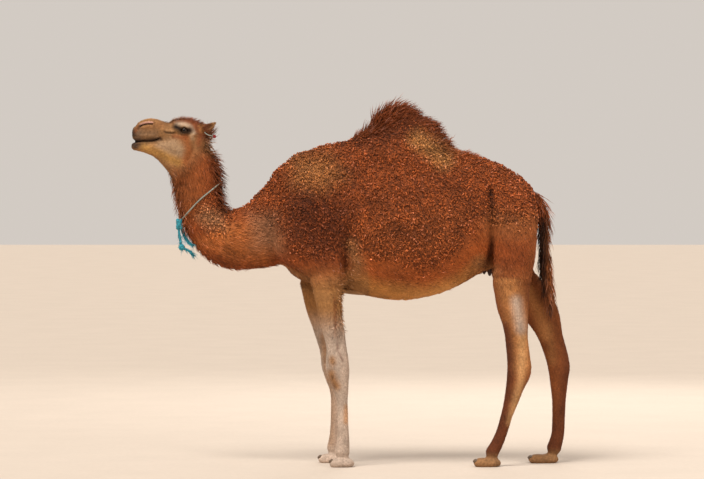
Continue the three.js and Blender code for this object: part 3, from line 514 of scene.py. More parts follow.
def lidded(d, h):
    """The head with lids swelling over the eyes and an almond opening cut through each."""
    found = d.copy()
    near = np.flatnonzero(np.linalg.norm(mirrored(h) - EYE, axis=1) < 0.06)
    if not len(near):
        return found
    from_eye = mirrored(h[near]) - EYE
    reach = np.linalg.norm(from_eye, axis=1)
    along, up, out = (from_eye @ way for way in (EYE_ALONG, EYE_UP, EYE_OUT))
    lids = joined(d[near], reach - EYE_RADIUS - LID_THICKNESS, 0.012)
    slit = np.abs(up) - SLIT_HALF_HEIGHT * (1 - (along / SLIT_HALF_LENGTH) ** 2)
    opening = np.maximum(np.maximum(slit * 0.8, -out), EYE_RADIUS - 0.0015 - reach)
    found[near] = cut_by(lids, opening, 0.0025)
    return found


def eared(d, h):
    """The head with its two ears, each with a hollow in its outer face."""
    found = d.copy()
    near = np.flatnonzero((h[:, 0] > -0.93) & (h[:, 0] < -0.76) & (h[:, 2] > 1.88))
    if not len(near):
        return found
    m = mirrored(h[near])
    centre, size = EAR_HOLLOW[:3], EAR_HOLLOW[3:]
    away = m - centre
    c, s = math.cos(EAR_TILT), math.sin(EAR_TILT)
    hollow = outside(away[:, 0] * c + away[:, 2] * s, away[:, 1],
                     away[:, 2] * c - away[:, 0] * s, *size)
    ear = cut_by(outside_chain(LINKS["ear"], m) + 0.0015, hollow, 0.004)
    found[near] = joined(d[near], ear, 0.01)
    return found


TAIL_COAT = 0.014


def coat_field(p, h, lips=False):
    """How far points lie outside the tips of the coat, but for the tail and the ears.

    With lips the mouth is filled in but for its front.
    """
    fill = LIP_FILL * ease((h[:, 0] - LIP_FRONT) / 0.02) if lips else 0
    d = trunk_outline(p)
    for name in LEGS:
        d = joined(d, leg_outline(name, p), 0.036)
    d = joined(d, outside_chain(LINKS["neck"], p), 0.06)
    return joined(d, joined(upper_head(h), lower_head(h), np.maximum(fill, 1e-4)), 0.04)


def skin_field(p):
    h = turned(p, -HEAD_TURN)
    d = coat_field(p, h, lips=True) + coat_depth(p, h) - relief(p, h)
    d = joined(d, outside_chain(LINKS["tail"], p) + TAIL_COAT, 0.03)
    d = lidded(eared(d, h), h)
    return cut_by(d, p[:, 2], 0.004)


# ---- The skin's mesh
def spaced(*stretches):
    """Places along an axis: each stretch is where it starts and its spacing, and last its end."""
    places = []
    for (start, step), (end, _) in zip(stretches, stretches[1:]):
        count = max(1, round((end - start) / step))
        places.extend(start + (end - start) * i / count for i in range(count))
    return np.array(places + [stretches[-1][0]])


COARSE = 1
GRID = (
    spaced((-1.32, 0.0036 * COARSE), (-1.02, 0.0027 * COARSE), (-0.94, 0.0045 * COARSE),
           (-0.78, 0.017 * COARSE), (-0.25, 0.0145 * COARSE), (1.31, 0)),
    spaced((-0.34, 0.016 * COARSE), (-0.24, 0.011 * COARSE), (-0.12, 0.006 * COARSE),
           (0.12, 0.011 * COARSE), (0.24, 0.016 * COARSE), (0.34, 0)),
    spaced((-0.03, 0.007 * COARSE), (0.1, 0.0165 * COARSE), (1.64, 0.006 * COARSE),
           (1.86, 0.0038 * COARSE), (1.92, 0.0026 * COARSE), (1.965, 0.0038 * COARSE),
           (2.02, 0.006 * COARSE), (2.05, 0.012 * COARSE), (2.14, 0)),
)
LEVELS = (4, 0.09), (2, 0.045)  # stride of each coarser pass, and how near the skin the next looks


def grid_values(field, near):
    return in_slabs(field, np.column_stack([axis[k] for axis, k in zip(GRID, near.T)]))


def skin_values():
    """The field on the whole grid, worked out closely only near the skin."""
    shape = [len(axis) for axis in GRID]
    stride, band = LEVELS[0]
    picks = [np.arange(0, count, stride) for count in shape]
    cells = np.stack(np.meshgrid(*picks, indexing="ij"), axis=-1).reshape(-1, 3)
    values = grid_values(skin_field, cells).reshape([len(pick) for pick in picks])
    for finer, next_band in LEVELS[1:] + ((1, 0),):
        for k, count in enumerate(shape):
            fine_places = np.arange(0, count, finer)
            values = np.take(values, fine_places // stride, axis=k)
        near = np.argwhere(np.abs(values) < band)
        values[tuple(near.T)] = grid_values(skin_field, near * finer)
        stride, band = finer, next_band
    return values


def slope_of(field, p, step=1e-3):
    """The field's gradient, from four points round each point."""
    corners = np.array([(1, 1, 1), (1, -1, -1), (-1, 1, -1), (-1, -1, 1)], float)
    total = np.zeros_like(p)
    for corner in corners:
        total += corner * in_slabs(field, p + corner * step)[:, None]
    return total / (4 * step)


def skin_shape():
    """The skin's points and faces: quads through the field's zero, pulled exactly onto it."""
    grid = openvdb.FloatGrid()
    grid.copyFromArray(skin_values().astype(np.float32))
    points, faces = grid.convertToQuads(isovalue=0.0)
    points = np.column_stack([
        np.interp(points[:, k], np.arange(len(axis)), axis) for k, axis in enumerate(GRID)
    ])
    for _ in range(2):
        slope = slope_of(skin_field, points)
        step = in_slabs(skin_field, points) / np.maximum((slope**2).sum(axis=1), 0.2)
        points = points - slope * np.clip(step, -0.006, 0.006)[:, None]
    points[:, 2] = np.maximum(points[:, 2], 0)
    return points, faces


# ---- Where each kind of coat grows, how it lies and its colours
WOOL = [(-0.36, 1.23), (-0.2, 1.19), (-0.06, 1.22), (0.05, 1.22), (0.27, 1.17), (0.42, 1.13), (0.56, 1.2),
        (0.68, 1.32), (0.76, 1.43), (0.86, 1.4), (1.0, 1.39), (1.12, 1.42), (1.1, 1.58), (0.8, 1.86),
        (0.6, 1.95), (0.45, 2.0), (0.1, 1.99), (-0.1, 1.95), (-0.4, 1.8), (-0.66, 1.54), (-0.6, 1.47),
        (-0.48, 1.44), (-0.41, 1.36)]
HUMP_TOP = [(0.03, 1.97), (0.07, 1.88), (0.2, 1.9), (0.42, 1.88), (0.6, 1.83), (0.6, 1.95), (0.5, 2.15),
            (0.05, 2.15)]
NECK_CURLS = [(-0.92, 1.46), (-0.84, 1.34), (-0.73, 1.32), (-0.67, 1.45), (-0.72, 1.54), (-0.86, 1.56)]


def srgb(red, green, blue):
    """A colour of 0 to 255 as the linear values that shaders take."""
    return tuple(((c / 255 + 0.055) / 1.055) ** 2.4 if c > 10 else c / 255 / 12.92
                 for c in (red, green, blue))


RED_BROWN = srgb(142, 71, 31)
DARK_BROWN = srgb(90, 42, 19)
MANE_BROWN = srgb(84, 43, 20)
BLACK_BROWN = srgb(36, 22, 15)
OCHRE = srgb(172, 118, 66)
CREAM = srgb(205, 158, 112)
BELLY_TAN = srgb(190, 130, 68)
BELLY_BROWN = srgb(158, 82, 36)
ORANGE_BROWN = srgb(158, 92, 48)
ORANGE_TAN = srgb(172, 100, 50)
GREY_TAN = srgb(158, 106, 64)
NECK_TAN = srgb(146, 100, 70)
HEAD_TAN = srgb(160, 117, 75)
CHEEK_PALE = srgb(188, 154, 120)
BROW_PALE = srgb(212, 186, 158)
CROWN_RED = srgb(122, 60, 32)
RUST = srgb(150, 84, 46)
MUZZLE_GREY = srgb(150, 116, 86)
JAW_OCHRE = srgb(182, 134, 72)
LIP_GREY = srgb(78, 58, 46)
NOSTRIL_PINK = srgb(208, 158, 144)
LEG_PALE = srgb(190, 167, 149)
STIFLE_TAN = srgb(192, 130, 76)
PALE_TAN = srgb(196, 148, 98)
LEG_TAN = srgb(158, 110, 64)
HIND_BROWN = srgb(130, 72, 36)
SHANK_BROWN = srgb(92, 46, 24)
FOOT_TAN = srgb(150, 110, 72)

# Markings seen from the side, painted in order: within an outline or near a line, the outline or line,
# its soft edge or radius, colour and strength.
BODY_MARKS = [
    (within, [(-0.36, 1.62), (-0.2, 1.62), (-0.02, 1.5), (-0.01, 1.25), (-0.2, 1.2), (-0.36, 1.34)],
     0.22, DARK_BROWN, 0.75),
    (within, [(-0.36, 1.8), (-0.14, 1.8), (-0.04, 1.68), (-0.16, 1.6), (-0.34, 1.64)], 0.18, OCHRE, 0.6),
    (within, [(0.0, 1.95), (0.05, 1.85), (0.3, 1.88), (0.55, 1.82), (0.6, 1.98), (0.3, 2.2)],
     0.14, DARK_BROWN, 0.55),
    (falloff, [(0.38, 1.89), (0.45, 1.84), (0.53, 1.77)], 0.1, OCHRE, 0.85),
    (falloff, [(0.2, 1.3), (0.55, 1.35)], 0.3, ORANGE_BROWN, 0.25),
    (within, [(-0.02, 1.28), (0.15, 1.22), (0.42, 1.14), (0.6, 1.22), (0.78, 1.4), (0.8, 1.1), (0.6, 0.9),
      (0.0, 0.9)], 0.1, BELLY_BROWN, 0.95),
    (within, [(-0.02, 1.12), (0.15, 1.07), (0.42, 1.035), (0.6, 1.1), (0.74, 1.2), (0.8, 1.1), (0.6, 0.9),
      (0.0, 0.9)], 0.1, BELLY_TAN, 0.95),
    (falloff, [(0.0, 1.28), (0.03, 1.18), (0.0, 1.06)], 0.07, GREY_TAN, 0.85),  # behind the elbow
    # Painted shade in the groove behind the elbow.
    (falloff, [(-0.036, 1.34), (-0.034, 1.2), (-0.036, 1.06)], 0.014, DARK_BROWN, 0.75),
    (falloff, [(-0.42, 1.167), (-0.33, 1.12), (-0.25, 1.078)], 0.02, CREAM, 0.4),
    # Painted shade along the fold between the flank and the thigh.
    (falloff, FLANK_FOLD, 0.026, BLACK_BROWN, 0.7),
    (falloff, [(0.82, 1.4), (1.12, 1.38), (1.1, 1.06), (0.82, 1.06)], 0.14, ORANGE_BROWN, 0.85),
    (falloff, [(0.74, 1.17), (0.8, 1.12)], 0.09, GREY_TAN, 0.8),
]
NECK_MARKS = [
    (within, [(-0.9, 1.3), (-0.7, 1.2), (-0.5, 1.18), (-0.42, 1.3), (-0.5, 1.42), (-0.75, 1.4)],
     0.12, ORANGE_TAN, 0.9),
    (within, [(-0.6, 1.46), (-0.44, 1.46), (-0.4, 1.25), (-0.58, 1.25)], 0.14, NECK_TAN, 0.85),
    (within, [(-1.02, 1.8), (-0.86, 1.74), (-0.85, 1.5), (-0.98, 1.42), (-1.06, 1.62)],
     0.14, ORANGE_BROWN, 0.6),
    (within, [(-0.9, 1.44), (-0.84, 1.38), (-0.74, 1.38), (-0.76, 1.46), (-0.85, 1.5)], 0.1, CREAM, 0.4),
]
HEAD_MARKS = [
    (within, [(-1.13, 1.88), (-1.03, 1.9), (-0.98, 1.85), (-0.99, 1.79), (-1.08, 1.81), (-1.14, 1.85)],
     0.06, CHEEK_PALE, 0.9),
    (falloff, [(-0.972, 1.9), (-0.955, 1.83), (-0.975, 1.76)], 0.045, ORANGE_BROWN, 0.85),
    (falloff, [(-1.02, 1.982), (-0.985, 1.986), (-0.94, 1.966), (-0.928, 1.935)], 0.026, BROW_PALE, 0.95),
    (falloff, [(-1.04, 1.912), (-1.0, 1.904), (-0.975, 1.906)], 0.026, RUST, 0.7),  # under the eye
    (falloff, [(-0.945, 1.932), (-0.935, 1.9)], 0.022, CHEEK_PALE, 0.6),
    (falloff, [(-1.03, 1.964), (-1.0, 1.948), (-0.95, 1.945)], 0.033, BLACK_BROWN, 1.0),  # round the eye
    (falloff, [(-0.992, 1.938), (-0.965, 1.936)], 0.032, BLACK_BROWN, 0.9),
    (falloff, [(-1.088, 1.943), (-1.05, 1.941)], 0.011, CREAM, 0.6),  # fold before the eye
    # Painted shade in the groove of the fold before the eye.
    (falloff, [(-1.095, 1.938), (-1.075, 1.929), (-1.04, 1.932)], 0.01, BLACK_BROWN, 0.75),
    (falloff, [(-1.25, 1.94), (-1.18, 1.965), (-1.1, 1.985)], 0.05, HIND_BROWN, 0.3),
    (falloff, [(-1.24, 1.93), (-1.2, 1.925), (-1.15, 1.925)], 0.04, MUZZLE_GREY, 0.8),
    (falloff, [(-1.285, 1.955), (-1.255, 1.925), (-1.25, 1.9)], 0.045, LIP_GREY, 0.65),
    (falloff, [(-1.27, 1.885), (-1.2, 1.887), (-1.12, 1.896)], 0.024, LIP_GREY, 0.85),
    (falloff, [(-1.29, 1.862), (-1.24, 1.858), (-1.2, 1.862)], 0.03, LIP_GREY, 0.85),
    # Painted shade: the open gap at the front of the lips, which lies in shadow.
    (falloff, [(-1.283, 1.88), (-1.27, 1.878)], 0.013, BLACK_BROWN, 0.95),  # gap of the lips
    (falloff, [(-1.245, 1.965), (-1.266, 1.935)], 0.016, HIND_BROWN, 0.7),
    (falloff, [(-1.284, 1.942), (-1.274, 1.918)], 0.024, BLACK_BROWN, 0.8),
    (falloff, [(-1.285, 1.866), (-1.262, 1.852)], 0.026, LIP_GREY, 0.8),
    (falloff, [(x, z + 0.009) for x, z in NOSTRIL], 0.01, NOSTRIL_PINK, 0.9),
    # Painted shade in the nostril's slit.
    (falloff, NOSTRIL, 0.0065, BLACK_BROWN, 1.0),
    (falloff, NOSTRIL[:1] + [(-1.245, 1.955)], 0.012, BLACK_BROWN, 0.6),
    # Painted shade along the groove of the mouth.
    (falloff, MOUTH[1:], 0.0065, BLACK_BROWN, 0.95),
    (falloff, MOUTH[:2], 0.014, BLACK_BROWN, 1.0),
    (falloff, [(-1.21, 1.845), (-1.1, 1.8), (-1.02, 1.76)], 0.045, JAW_OCHRE, 0.85),
    (falloff, [(-0.912, 1.975), (-0.885, 1.93), (-0.9, 1.87)], 0.034, RUST, 0.8),  # behind the brow
    (falloff, [(-1.06, 2.01), (-0.99, 2.01), (-0.9, 2.01)], 0.04, CROWN_RED, 0.8),
    (falloff, [(-0.95, 2.03), (-0.9, 1.99), (-0.86, 1.93)], 0.075, CROWN_RED, 0.9),
    (falloff, [(-0.888, 1.968), (-0.878, 1.94)], 0.026, OCHRE, 0.6),
    (falloff, [(-0.868, 1.956), (-0.834, 1.98)], 0.016, DARK_BROWN, 0.85),  # in the ear
]
# Marks of the legs on one side, with the side first.
LEG_MARKS = [
    (-1, falloff, [(-0.116, 0.625), (-0.112, 0.605)], 0.034, OCHRE, 0.8),
    (-1, falloff, [(-0.12, 0.545), (-0.112, 0.51), (-0.09, 0.47)], 0.042, OCHRE, 0.85),
    (-1, falloff, [(-0.118, 0.535), (-0.114, 0.52)], 0.009, BLACK_BROWN, 0.6),
    (-1, falloff, [(-0.1, 0.468), (-0.094, 0.462)], 0.009, BLACK_BROWN, 0.6),
    (-1, falloff, [(-0.034, 0.35), (-0.036, 0.26)], 0.024, OCHRE, 0.7),
    (-1, falloff, [(-0.1, 0.98), (-0.096, 0.86), (-0.091, 0.748)], 0.012, HIND_BROWN, 0.7),
    # Painted shade in the fold behind the knee.
    (-1, falloff, [(-0.091, 0.748), (-0.079, 0.666), (-0.056, 0.622)], 0.009, DARK_BROWN, 0.6),
    # Painted shade: the far foreleg is painted darker, as it lies in shade.
    (1, falloff, [(-0.17, 0.74), (-0.15, 0.6), (-0.13, 0.5)], 0.04, LEG_TAN, 0.7),
    (1, falloff, [(-0.135, 0.46), (-0.125, 0.3), (-0.125, 0.12)], 0.06, LEG_TAN, 0.45),
    (-1, falloff, [(0.89, 1.1), (0.93, 0.94), (0.965, 0.78), (0.98, 0.6)], 0.11, STIFLE_TAN, 0.95),
    (-1, falloff, [(0.985, 0.75), (0.975, 0.5), (0.945, 0.38), (0.915, 0.26)], 0.045, PALE_TAN, 0.8),
    (-1, falloff, [(0.945, 0.96), (0.958, 0.88), (0.975, 0.8)], 0.06, LEG_PALE, 0.9),
    (-1, falloff, [(0.885, 0.8), (0.9, 0.72), (0.908, 0.62), (0.9, 0.5), (0.865, 0.3), (0.83, 0.16)], 0.064,
     SHANK_BROWN, 0.9),
    (1, falloff, [(1.03, 1.02), (1.09, 0.88), (1.13, 0.75)], 0.06, STIFLE_TAN, 0.7),
    (1, falloff, [(1.15, 0.8), (1.17, 0.6)], 0.05, LEG_TAN, 0.4),
    (1, falloff, [(1.25, 0.75), (1.26, 0.6), (1.23, 0.3)], 0.05, SHANK_BROWN, 0.7),
]
HEAD_COLOUR_FADE = 0.16  # over how much of the neck its colour turns into the head's


def painted(p, h):
    """The coat's colour at each point."""
    x, y, z = p.T
    colour = np.tile(RED_BROWN, (len(p), 1))

    def paint(where, share, paint_colour, strength):
        share = (share * strength)[:, None]
        colour[where] += (np.array(paint_colour) - colour[where]) * share

    everywhere = np.arange(len(p))
    for shows, shape, soft, hue, strength in BODY_MARKS:
        paint(everywhere, shows(p, shape, soft), hue, strength)
    fore = np.flatnonzero((x < 0.1) & (x > -0.42) & (z < 1.3))
    paint(fore, ease((1.2 - z[fore]) / 0.2), LEG_TAN, 1)
    paint(fore, ease((0.93 - z[fore]) / 0.22), LEG_PALE, 1)
    hind = np.flatnonzero((x > 0.66) & (z < 1.2))
    paint(hind, ease((1.2 - z[hind]) / 0.2), HIND_BROWN, 1)
    paint(hind, ease((0.42 - z[hind]) / 0.25), SHANK_BROWN, 0.75)
    for side, shows, shape, soft, hue, strength in LEG_MARKS:
        where = np.flatnonzero((y * side > 0) & (z < 1.1))
        paint(where, shows(p[where], shape, soft), hue, strength)
    feet = np.flatnonzero((z < 0.13) & (x > 0.5))
    paint(feet, ease((0.1 - z[feet]) / 0.06), FOOT_TAN, 0.85)
    neck = beyond(p, *NECK_PLANE, 0.2)
    paint(everywhere, neck, RED_BROWN, 0.6)
    for shows, shape, soft, hue, strength in NECK_MARKS:
        paint(everywhere, shows(p, shape, soft), hue, strength)
    paint(everywhere, falloff(p, NAPE, 0.11), MANE_BROWN, 0.9)
    paint(everywhere, falloff(p, THROAT_LINE, 0.09), MANE_BROWN, 0.5)
    paint(everywhere, beyond(p, *HEAD_PLANE, HEAD_COLOUR_FADE), HEAD_TAN, 0.95)
    head = np.flatnonzero(h[:, 0] < -0.8)
    for shows, shape, soft, hue, strength in HEAD_MARKS:
        paint(head, shows(h[head], shape, soft), hue, strength)
    paint(head, falloff(h[head], NAPE[:1] + [(-0.83, 0, 1.93)], 0.05), MANE_BROWN, 0.8)
    tail = np.flatnonzero((x > 1.05) & (np.abs(y) < 0.06) & (z > 0.85))
    dark = ease((1.15 - x[tail]) / 0.04) * ease((1.53 - z[tail]) / 0.1)
    paint(tail, np.maximum(dark, ease((1.02 - z[tail]) / 0.1)), BLACK_BROWN, 0.95)
    return colour


def lie_of(p, normals):
    """The way the hair lies on the skin, from its root to its tip."""
    x, y, z = p.T
    way = np.tile([0.7, 0.0, -0.7], (len(p), 1))

    def comb(share, direction):
        way[:] += (np.array(direction) - way) * share[:, None]

    comb(ease((z - 1.75) / 0.15), (1, 0, -0.1))
    comb(within(p, HUMP_TOP, 0.12), (0.9, 0, 0.35))
    comb(within(p, [(0.78, 1.6), (1.2, 1.5), (1.2, 1.0), (0.78, 1.0), (0.7, 1.3)], 0.2), (0.3, 0, -0.95))
    comb(falloff(p, [(0, 1.0), (0.4, 0.98), (0.7, 1.1)], 0.2), (1, 0, 0.05))
    legs = ease((1.05 - z) / 0.2) * np.where((x > -0.05) & (x < 0.6), 0, 1)
    comb(legs, (0.1, 0, -1))
    comb(ease((0.1 - z) / 0.06), (-1, 0, -0.35))
    neck_links = LINKS["neck"]
    nearest = np.argmin(((p[:, None, [0, 2]] - neck_links[None, ::3, [0, 2]]) ** 2).sum(axis=2), axis=1)
    runs = np.gradient(neck_links[::3, :3], axis=0)[nearest] * -1
    runs /= np.linalg.norm(runs, axis=1)[:, None]
    share = beyond(p, *NECK_PLANE, 0.2)[:, None]
    way += (runs - way) * share
    head = head_share(p)
    comb(head, (1, 0, -0.15))
    comb(head * falloff(p, CROWN, 0.09), (0.75, 0, 0.5))
    comb(falloff(p, NAPE, 0.09) * (1 - head), (0.45, 0, -0.85))
    comb(((x > 1.05) & (np.abs(y) < 0.06)).astype(float), (0, 0, -1))
    way -= normals * (way * normals).sum(axis=1)[:, None]
    return way / np.maximum(np.linalg.norm(way, axis=1), 1e-6)[:, None]
# ---- Meshes
def placed(name, data):
    """A new object in the scene."""
    made = bpy.data.objects.new(name, data)
    bpy.context.collection.objects.link(made)
    return made


def mesh_object(name, points, faces, finish=None, smooth=True):
    mesh = bpy.data.meshes.new(name)
    mesh.from_pydata(np.array(points, float).tolist(), [], [tuple(map(int, face)) for face in faces])
    mesh.polygons.foreach_set("use_smooth", [smooth] * len(mesh.polygons))
    if finish:
        mesh.materials.append(finish)
    return placed(name, mesh)


def ring_walls(ring_count, sides):
    """The quads between rings of points."""
    corners = (0, 0), (0, 1), (1, 1), (1, 0)
    return [tuple((r + up) * sides + (s + on) % sides for up, on in corners)
            for r in range(ring_count - 1) for s in range(sides)]


STRAND_RELIEF = 0.14


def tube_shape(path, radius, sides=10, squash=1.0, strands=0, turns=0.0):
    """Points and faces of a closed tube. strands and turns a metre make it a laid cord.

    radius is one number or one for each point, and squash narrows the tube along Y.
    """
    path = np.array(path, float)
    radii = np.broadcast_to(radius, len(path))
    tangents = np.gradient(path, axis=0)
    tangents /= np.linalg.norm(tangents, axis=1)[:, None]
    across = np.cross(tangents[0], (0.01, 1, 0.02))
    travelled = 0.0
    points = []
    for k, (centre, tangent) in enumerate(zip(path, tangents)):
        travelled += np.linalg.norm(centre - path[max(k - 1, 0)])
        across -= tangent * (across @ tangent)
        across /= np.linalg.norm(across)
        other = np.cross(tangent, across) * squash
        for s in range(sides):
            angle = 2 * math.pi * s / sides
            swell = 1 + STRAND_RELIEF * math.cos(strands * (angle - 2 * math.pi * turns * travelled))
            reach = radii[k] * (swell if strands else 1)
            points.append(centre + reach * (math.cos(angle) * across + math.sin(angle) * other))
    faces = ring_walls(len(path), sides)
    for ring in (0, len(path) - 1):
        points.append(path[ring])
        for s in range(sides):
            edge = [ring * sides + s, ring * sides + (s + 1) % sides]
            faces.append((*(edge if ring else edge[::-1]), len(points) - 1))
    return points, faces


def ball_shape(centre, size, lean=0.0, reshape=None, around=28, rows=18):
    """Points and faces of a stretched ball, turned by lean about Y. reshape works on the unit ball."""
    angles = 2 * math.pi * np.arange(around) / around
    points = [(0, 0, -1)]
    for r in range(1, rows):
        polar = math.pi * r / rows
        points.extend((math.sin(polar) * math.cos(a), math.sin(polar) * math.sin(a), -math.cos(polar))
                      for a in angles)
    points.append((0, 0, 1))
    last = len(points) - 1
    faces = []
    for s in range(around):
        t = (s + 1) % around
        faces += [(0, 1 + t, 1 + s), (last, last - around + s, last - around + t)]
        for r in range(rows - 2):
            low = 1 + r * around
            faces.append((low + s, low + t, low + around + t, low + around + s))
    points = np.array(points)
    points = (reshape(points) if reshape else points) * size
    c, s = math.cos(lean), math.sin(lean)
    x, z = points[:, 0] * c + points[:, 2] * s, points[:, 2] * c - points[:, 0] * s
    return np.column_stack([x, points[:, 1], z]) + centre, faces


def together(shapes):
    """Several shapes as one."""
    points, faces = [], []
    for more_points, more_faces in shapes:
        base = len(points)
        points.extend(more_points)
        faces.extend(tuple(k + base for k in face) for face in more_faces)
    return points, faces


# ---- Nodes
def node(tree, kind, inputs=None, **settings):
    """A node with its settings, and with each input set to a value or joined to a socket."""
    made = tree.nodes.new(kind)
    for key, value in settings.items():
        setattr(made, key, value)
    for key, value in (inputs or {}).items():
        if isinstance(key, str):
            socket = next(i for i in made.inputs if i.name == key and i.enabled)
        else:
            socket = made.inputs[key]
        if isinstance(value, bpy.types.NodeSocket):
            tree.links.new(value, socket)
        else:
            socket.default_value = value
    return made


def live(made, name):
    """The output of a node that is in use among those of one name."""
    return next(o for o in made.outputs if o.name == name and o.enabled)


def group(name, kind, inputs, outputs):
    """A new node group, with its input and output nodes. inputs: name, socket type, value."""
    tree = bpy.data.node_groups.new(name, kind)
    for title, socket_type, value in inputs:
        socket = tree.interface.new_socket(title, in_out="INPUT", socket_type="NodeSocket" + socket_type)
        if value is not None:
            socket.default_value = value
    for title, socket_type in outputs:
        tree.interface.new_socket(title, in_out="OUTPUT", socket_type="NodeSocket" + socket_type)
    return tree, tree.nodes.new("NodeGroupInput").outputs, tree.nodes.new("NodeGroupOutput").inputs


def maths(tree, operation, *values):
    return node(tree, "ShaderNodeMath", dict(enumerate(values)), operation=operation).outputs[0]


def vectors(tree, operation, *values):
    made = node(tree, "ShaderNodeVectorMath", dict(enumerate(values)), operation=operation)
    return made.outputs["Value" if operation == "LENGTH" else "Vector"]


def ranged(tree, value, *ends):
    """A value moved from one range to another: the ends of the first, then of the second."""
    limits = dict(zip(("From Min", "From Max", "To Min", "To Max"), ends))
    return node(tree, "ShaderNodeMapRange", {"Value": value, **limits}).outputs["Result"]


def mixed(tree, data_type, share, first, second):
    made = node(tree, "ShaderNodeMix", {0: share, "A": first, "B": second}, data_type=data_type)
    return live(made, "Result")


def noise(tree, place, scale, **more):
    return node(tree, "ShaderNodeTexNoise", {"Vector": place, "Scale": scale, **more})


def shifted(tree, colour, **more):
    return node(tree, "ShaderNodeHueSaturation", {"Color": colour, **more}).outputs["Color"]


def object_place(tree):
    return node(tree, "ShaderNodeTexCoord").outputs["Object"]


def attribute(tree, name, output="Color"):
    return node(tree, "ShaderNodeAttribute", attribute_name=name).outputs[output]


def own_map(tree, name):
    return node(tree, "ShaderNodeUVMap", uv_map=name).outputs[0]


# ---- Finishes
SOFT_SHINE = 0.2  # the shader's specular level for hair, skin and rope


def finish_of(name, colouring, roughness=0.8, shine=SOFT_SHINE):
    """A material. colouring makes its nodes and gives its colour, and its bumps' height and depth."""
    made = bpy.data.materials.new(name)
    made.use_nodes = True
    tree = made.node_tree
    shader = tree.nodes["Principled BSDF"]
    shader.inputs["Roughness"].default_value = roughness
    shader.inputs["Specular IOR Level"].default_value = shine
    colour, height, depth = colouring(tree)
    tree.links.new(colour, shader.inputs["Base Color"])
    if depth:
        bump = node(tree, "ShaderNodeBump", {"Height": height, "Distance": depth, "Strength": 1.0})
        tree.links.new(bump.outputs["Normal"], shader.inputs["Normal"])
    return made


def mottle_group():
    """A colour made lighter and darker in soft patches, and a height for bumps of the same grain."""
    tree, given, out = group(
        "mottle", "ShaderNodeTree",
        [("Color", "Color", (0.5, 0.4, 0.3, 1)), ("Patches", "Float", 9.0), ("Grain", "Float", 160.0),
         ("Amount", "Float", 0.3)],
        [("Color", "Color"), ("Height", "Float")])
    place = object_place(tree)
    patches = noise(tree, place, given["Patches"], Detail=4.0, Roughness=0.6).outputs["Fac"]
    grain = noise(tree, place, given["Grain"], Detail=3.0).outputs["Fac"]
    swing = maths(tree, "SUBTRACT", maths(tree, "ADD", patches, grain), 1.0)
    light = maths(tree, "MULTIPLY_ADD", swing, given["Amount"], 1.0)
    # The swing is about a third of its range, so it is trebled in the colour.
    strong = maths(tree, "POWER", light, 3.0)
    tree.links.new(shifted(tree, given["Color"], Value=strong), out["Color"])
    tree.links.new(grain, out["Height"])
    return tree


MOTTLE = mottle_group()


def mottled(tree, colour, patches, grain, amount):
    """The mottle group in a material, on a colour or a colour socket. Gives its colour and height."""
    if not isinstance(colour, bpy.types.NodeSocket):
        colour = (*colour, 1)
    given = {"Color": colour, "Patches": patches, "Grain": grain, "Amount": amount}
    return node(tree, "ShaderNodeGroup", given, node_tree=MOTTLE).outputs


def plain_finish(name, colour, roughness, patches=20.0, grain=300.0, amount=0.15, depth=0.0006):
    """A finish of one colour, a little mottled and rough to the touch."""
    return finish_of(name, lambda tree: (*mottled(tree, colour, patches, grain, amount), depth), roughness)


CURL_BEND = (0.03, 0.03, 0.03)  # how far the undercoat's curls are pushed out of a plain pattern
CURLS_PER_METRE = 62.0
# Painted shade: the skin's value in the hollows between the curls, and where there is no wool, under the
# other hair.
CURL_HOLLOW_PAINTED_SHADE = 0.42
UNDER_HAIR_PAINTED_SHADE = 0.82  # where there is no wool
HIDE_BUMP = 0.003


def hide_look(tree):
    """The skin with its close undercoat, darker with painted shade: most in the hollows between the curls of
    wool, less where there is no wool.
    """
    colour, grain = mottled(tree, attribute(tree, "tone"), patches=7.0, grain=90.0, amount=0.42)
    place = object_place(tree)
    bend = noise(tree, place, 40.0, Detail=2.0).outputs["Color"]
    bent = vectors(tree, "ADD", place, vectors(tree, "MULTIPLY", bend, CURL_BEND))
    curls = node(tree, "ShaderNodeTexVoronoi", {"Vector": bent, "Scale": CURLS_PER_METRE},
                 feature="SMOOTH_F1")
    wool = attribute(tree, "wool", "Fac")
    hollow = ranged(tree, curls.outputs["Distance"], 0.15, 0.6, 1.0, CURL_HOLLOW_PAINTED_SHADE)
    painted_shade = mixed(tree, "FLOAT", wool, UNDER_HAIR_PAINTED_SHADE, hollow)
    return shifted(tree, colour, Value=painted_shade), mixed(tree, "FLOAT", wool, grain, hollow), HIDE_BUMP


def hair_finish(name, root, tip, swing, clump, fleck_and_highlight, roughness=0.7):
    """Hair in the coat's own colours, from a root darkened with painted shade to a lighter tip, each lock its
    own shade.

    clump is the width of the clumps that differ in colour, and fleck how pale the few palest locks are,
    partly their own colour and partly painted highlight.
    """
    def look(tree):
        colour, _ = mottled(tree, attribute(tree, "tone"), patches=7.0, grain=1 / clump, amount=0.52)
        along = node(tree, "ShaderNodeSeparateXYZ", {0: own_map(tree, "lock")}).outputs["Y"]
        root_shade_to_tip = ranged(tree, along, 0.0, 1.0, root, tip)
        shade = attribute(tree, "shade", "Fac")
        # A few of the palest locks are lightened and dulled: partly their own paler colour, partly painted
        # highlight.
        pale = ranged(tree, shade, 0.9, 0.96, 1.0, fleck_and_highlight)
        lock = maths(tree, "MULTIPLY", pale, ranged(tree, shade, 0.0, 1.0, 1 - swing, 1 + swing))
        duller = ranged(tree, pale, 1.0, 1.5, 1.0, 0.8)
        return shifted(tree, colour, Saturation=duller, Value=maths(tree, "MULTIPLY", root_shade_to_tip, lock)), None, 0

    return finish_of(name, look, roughness)


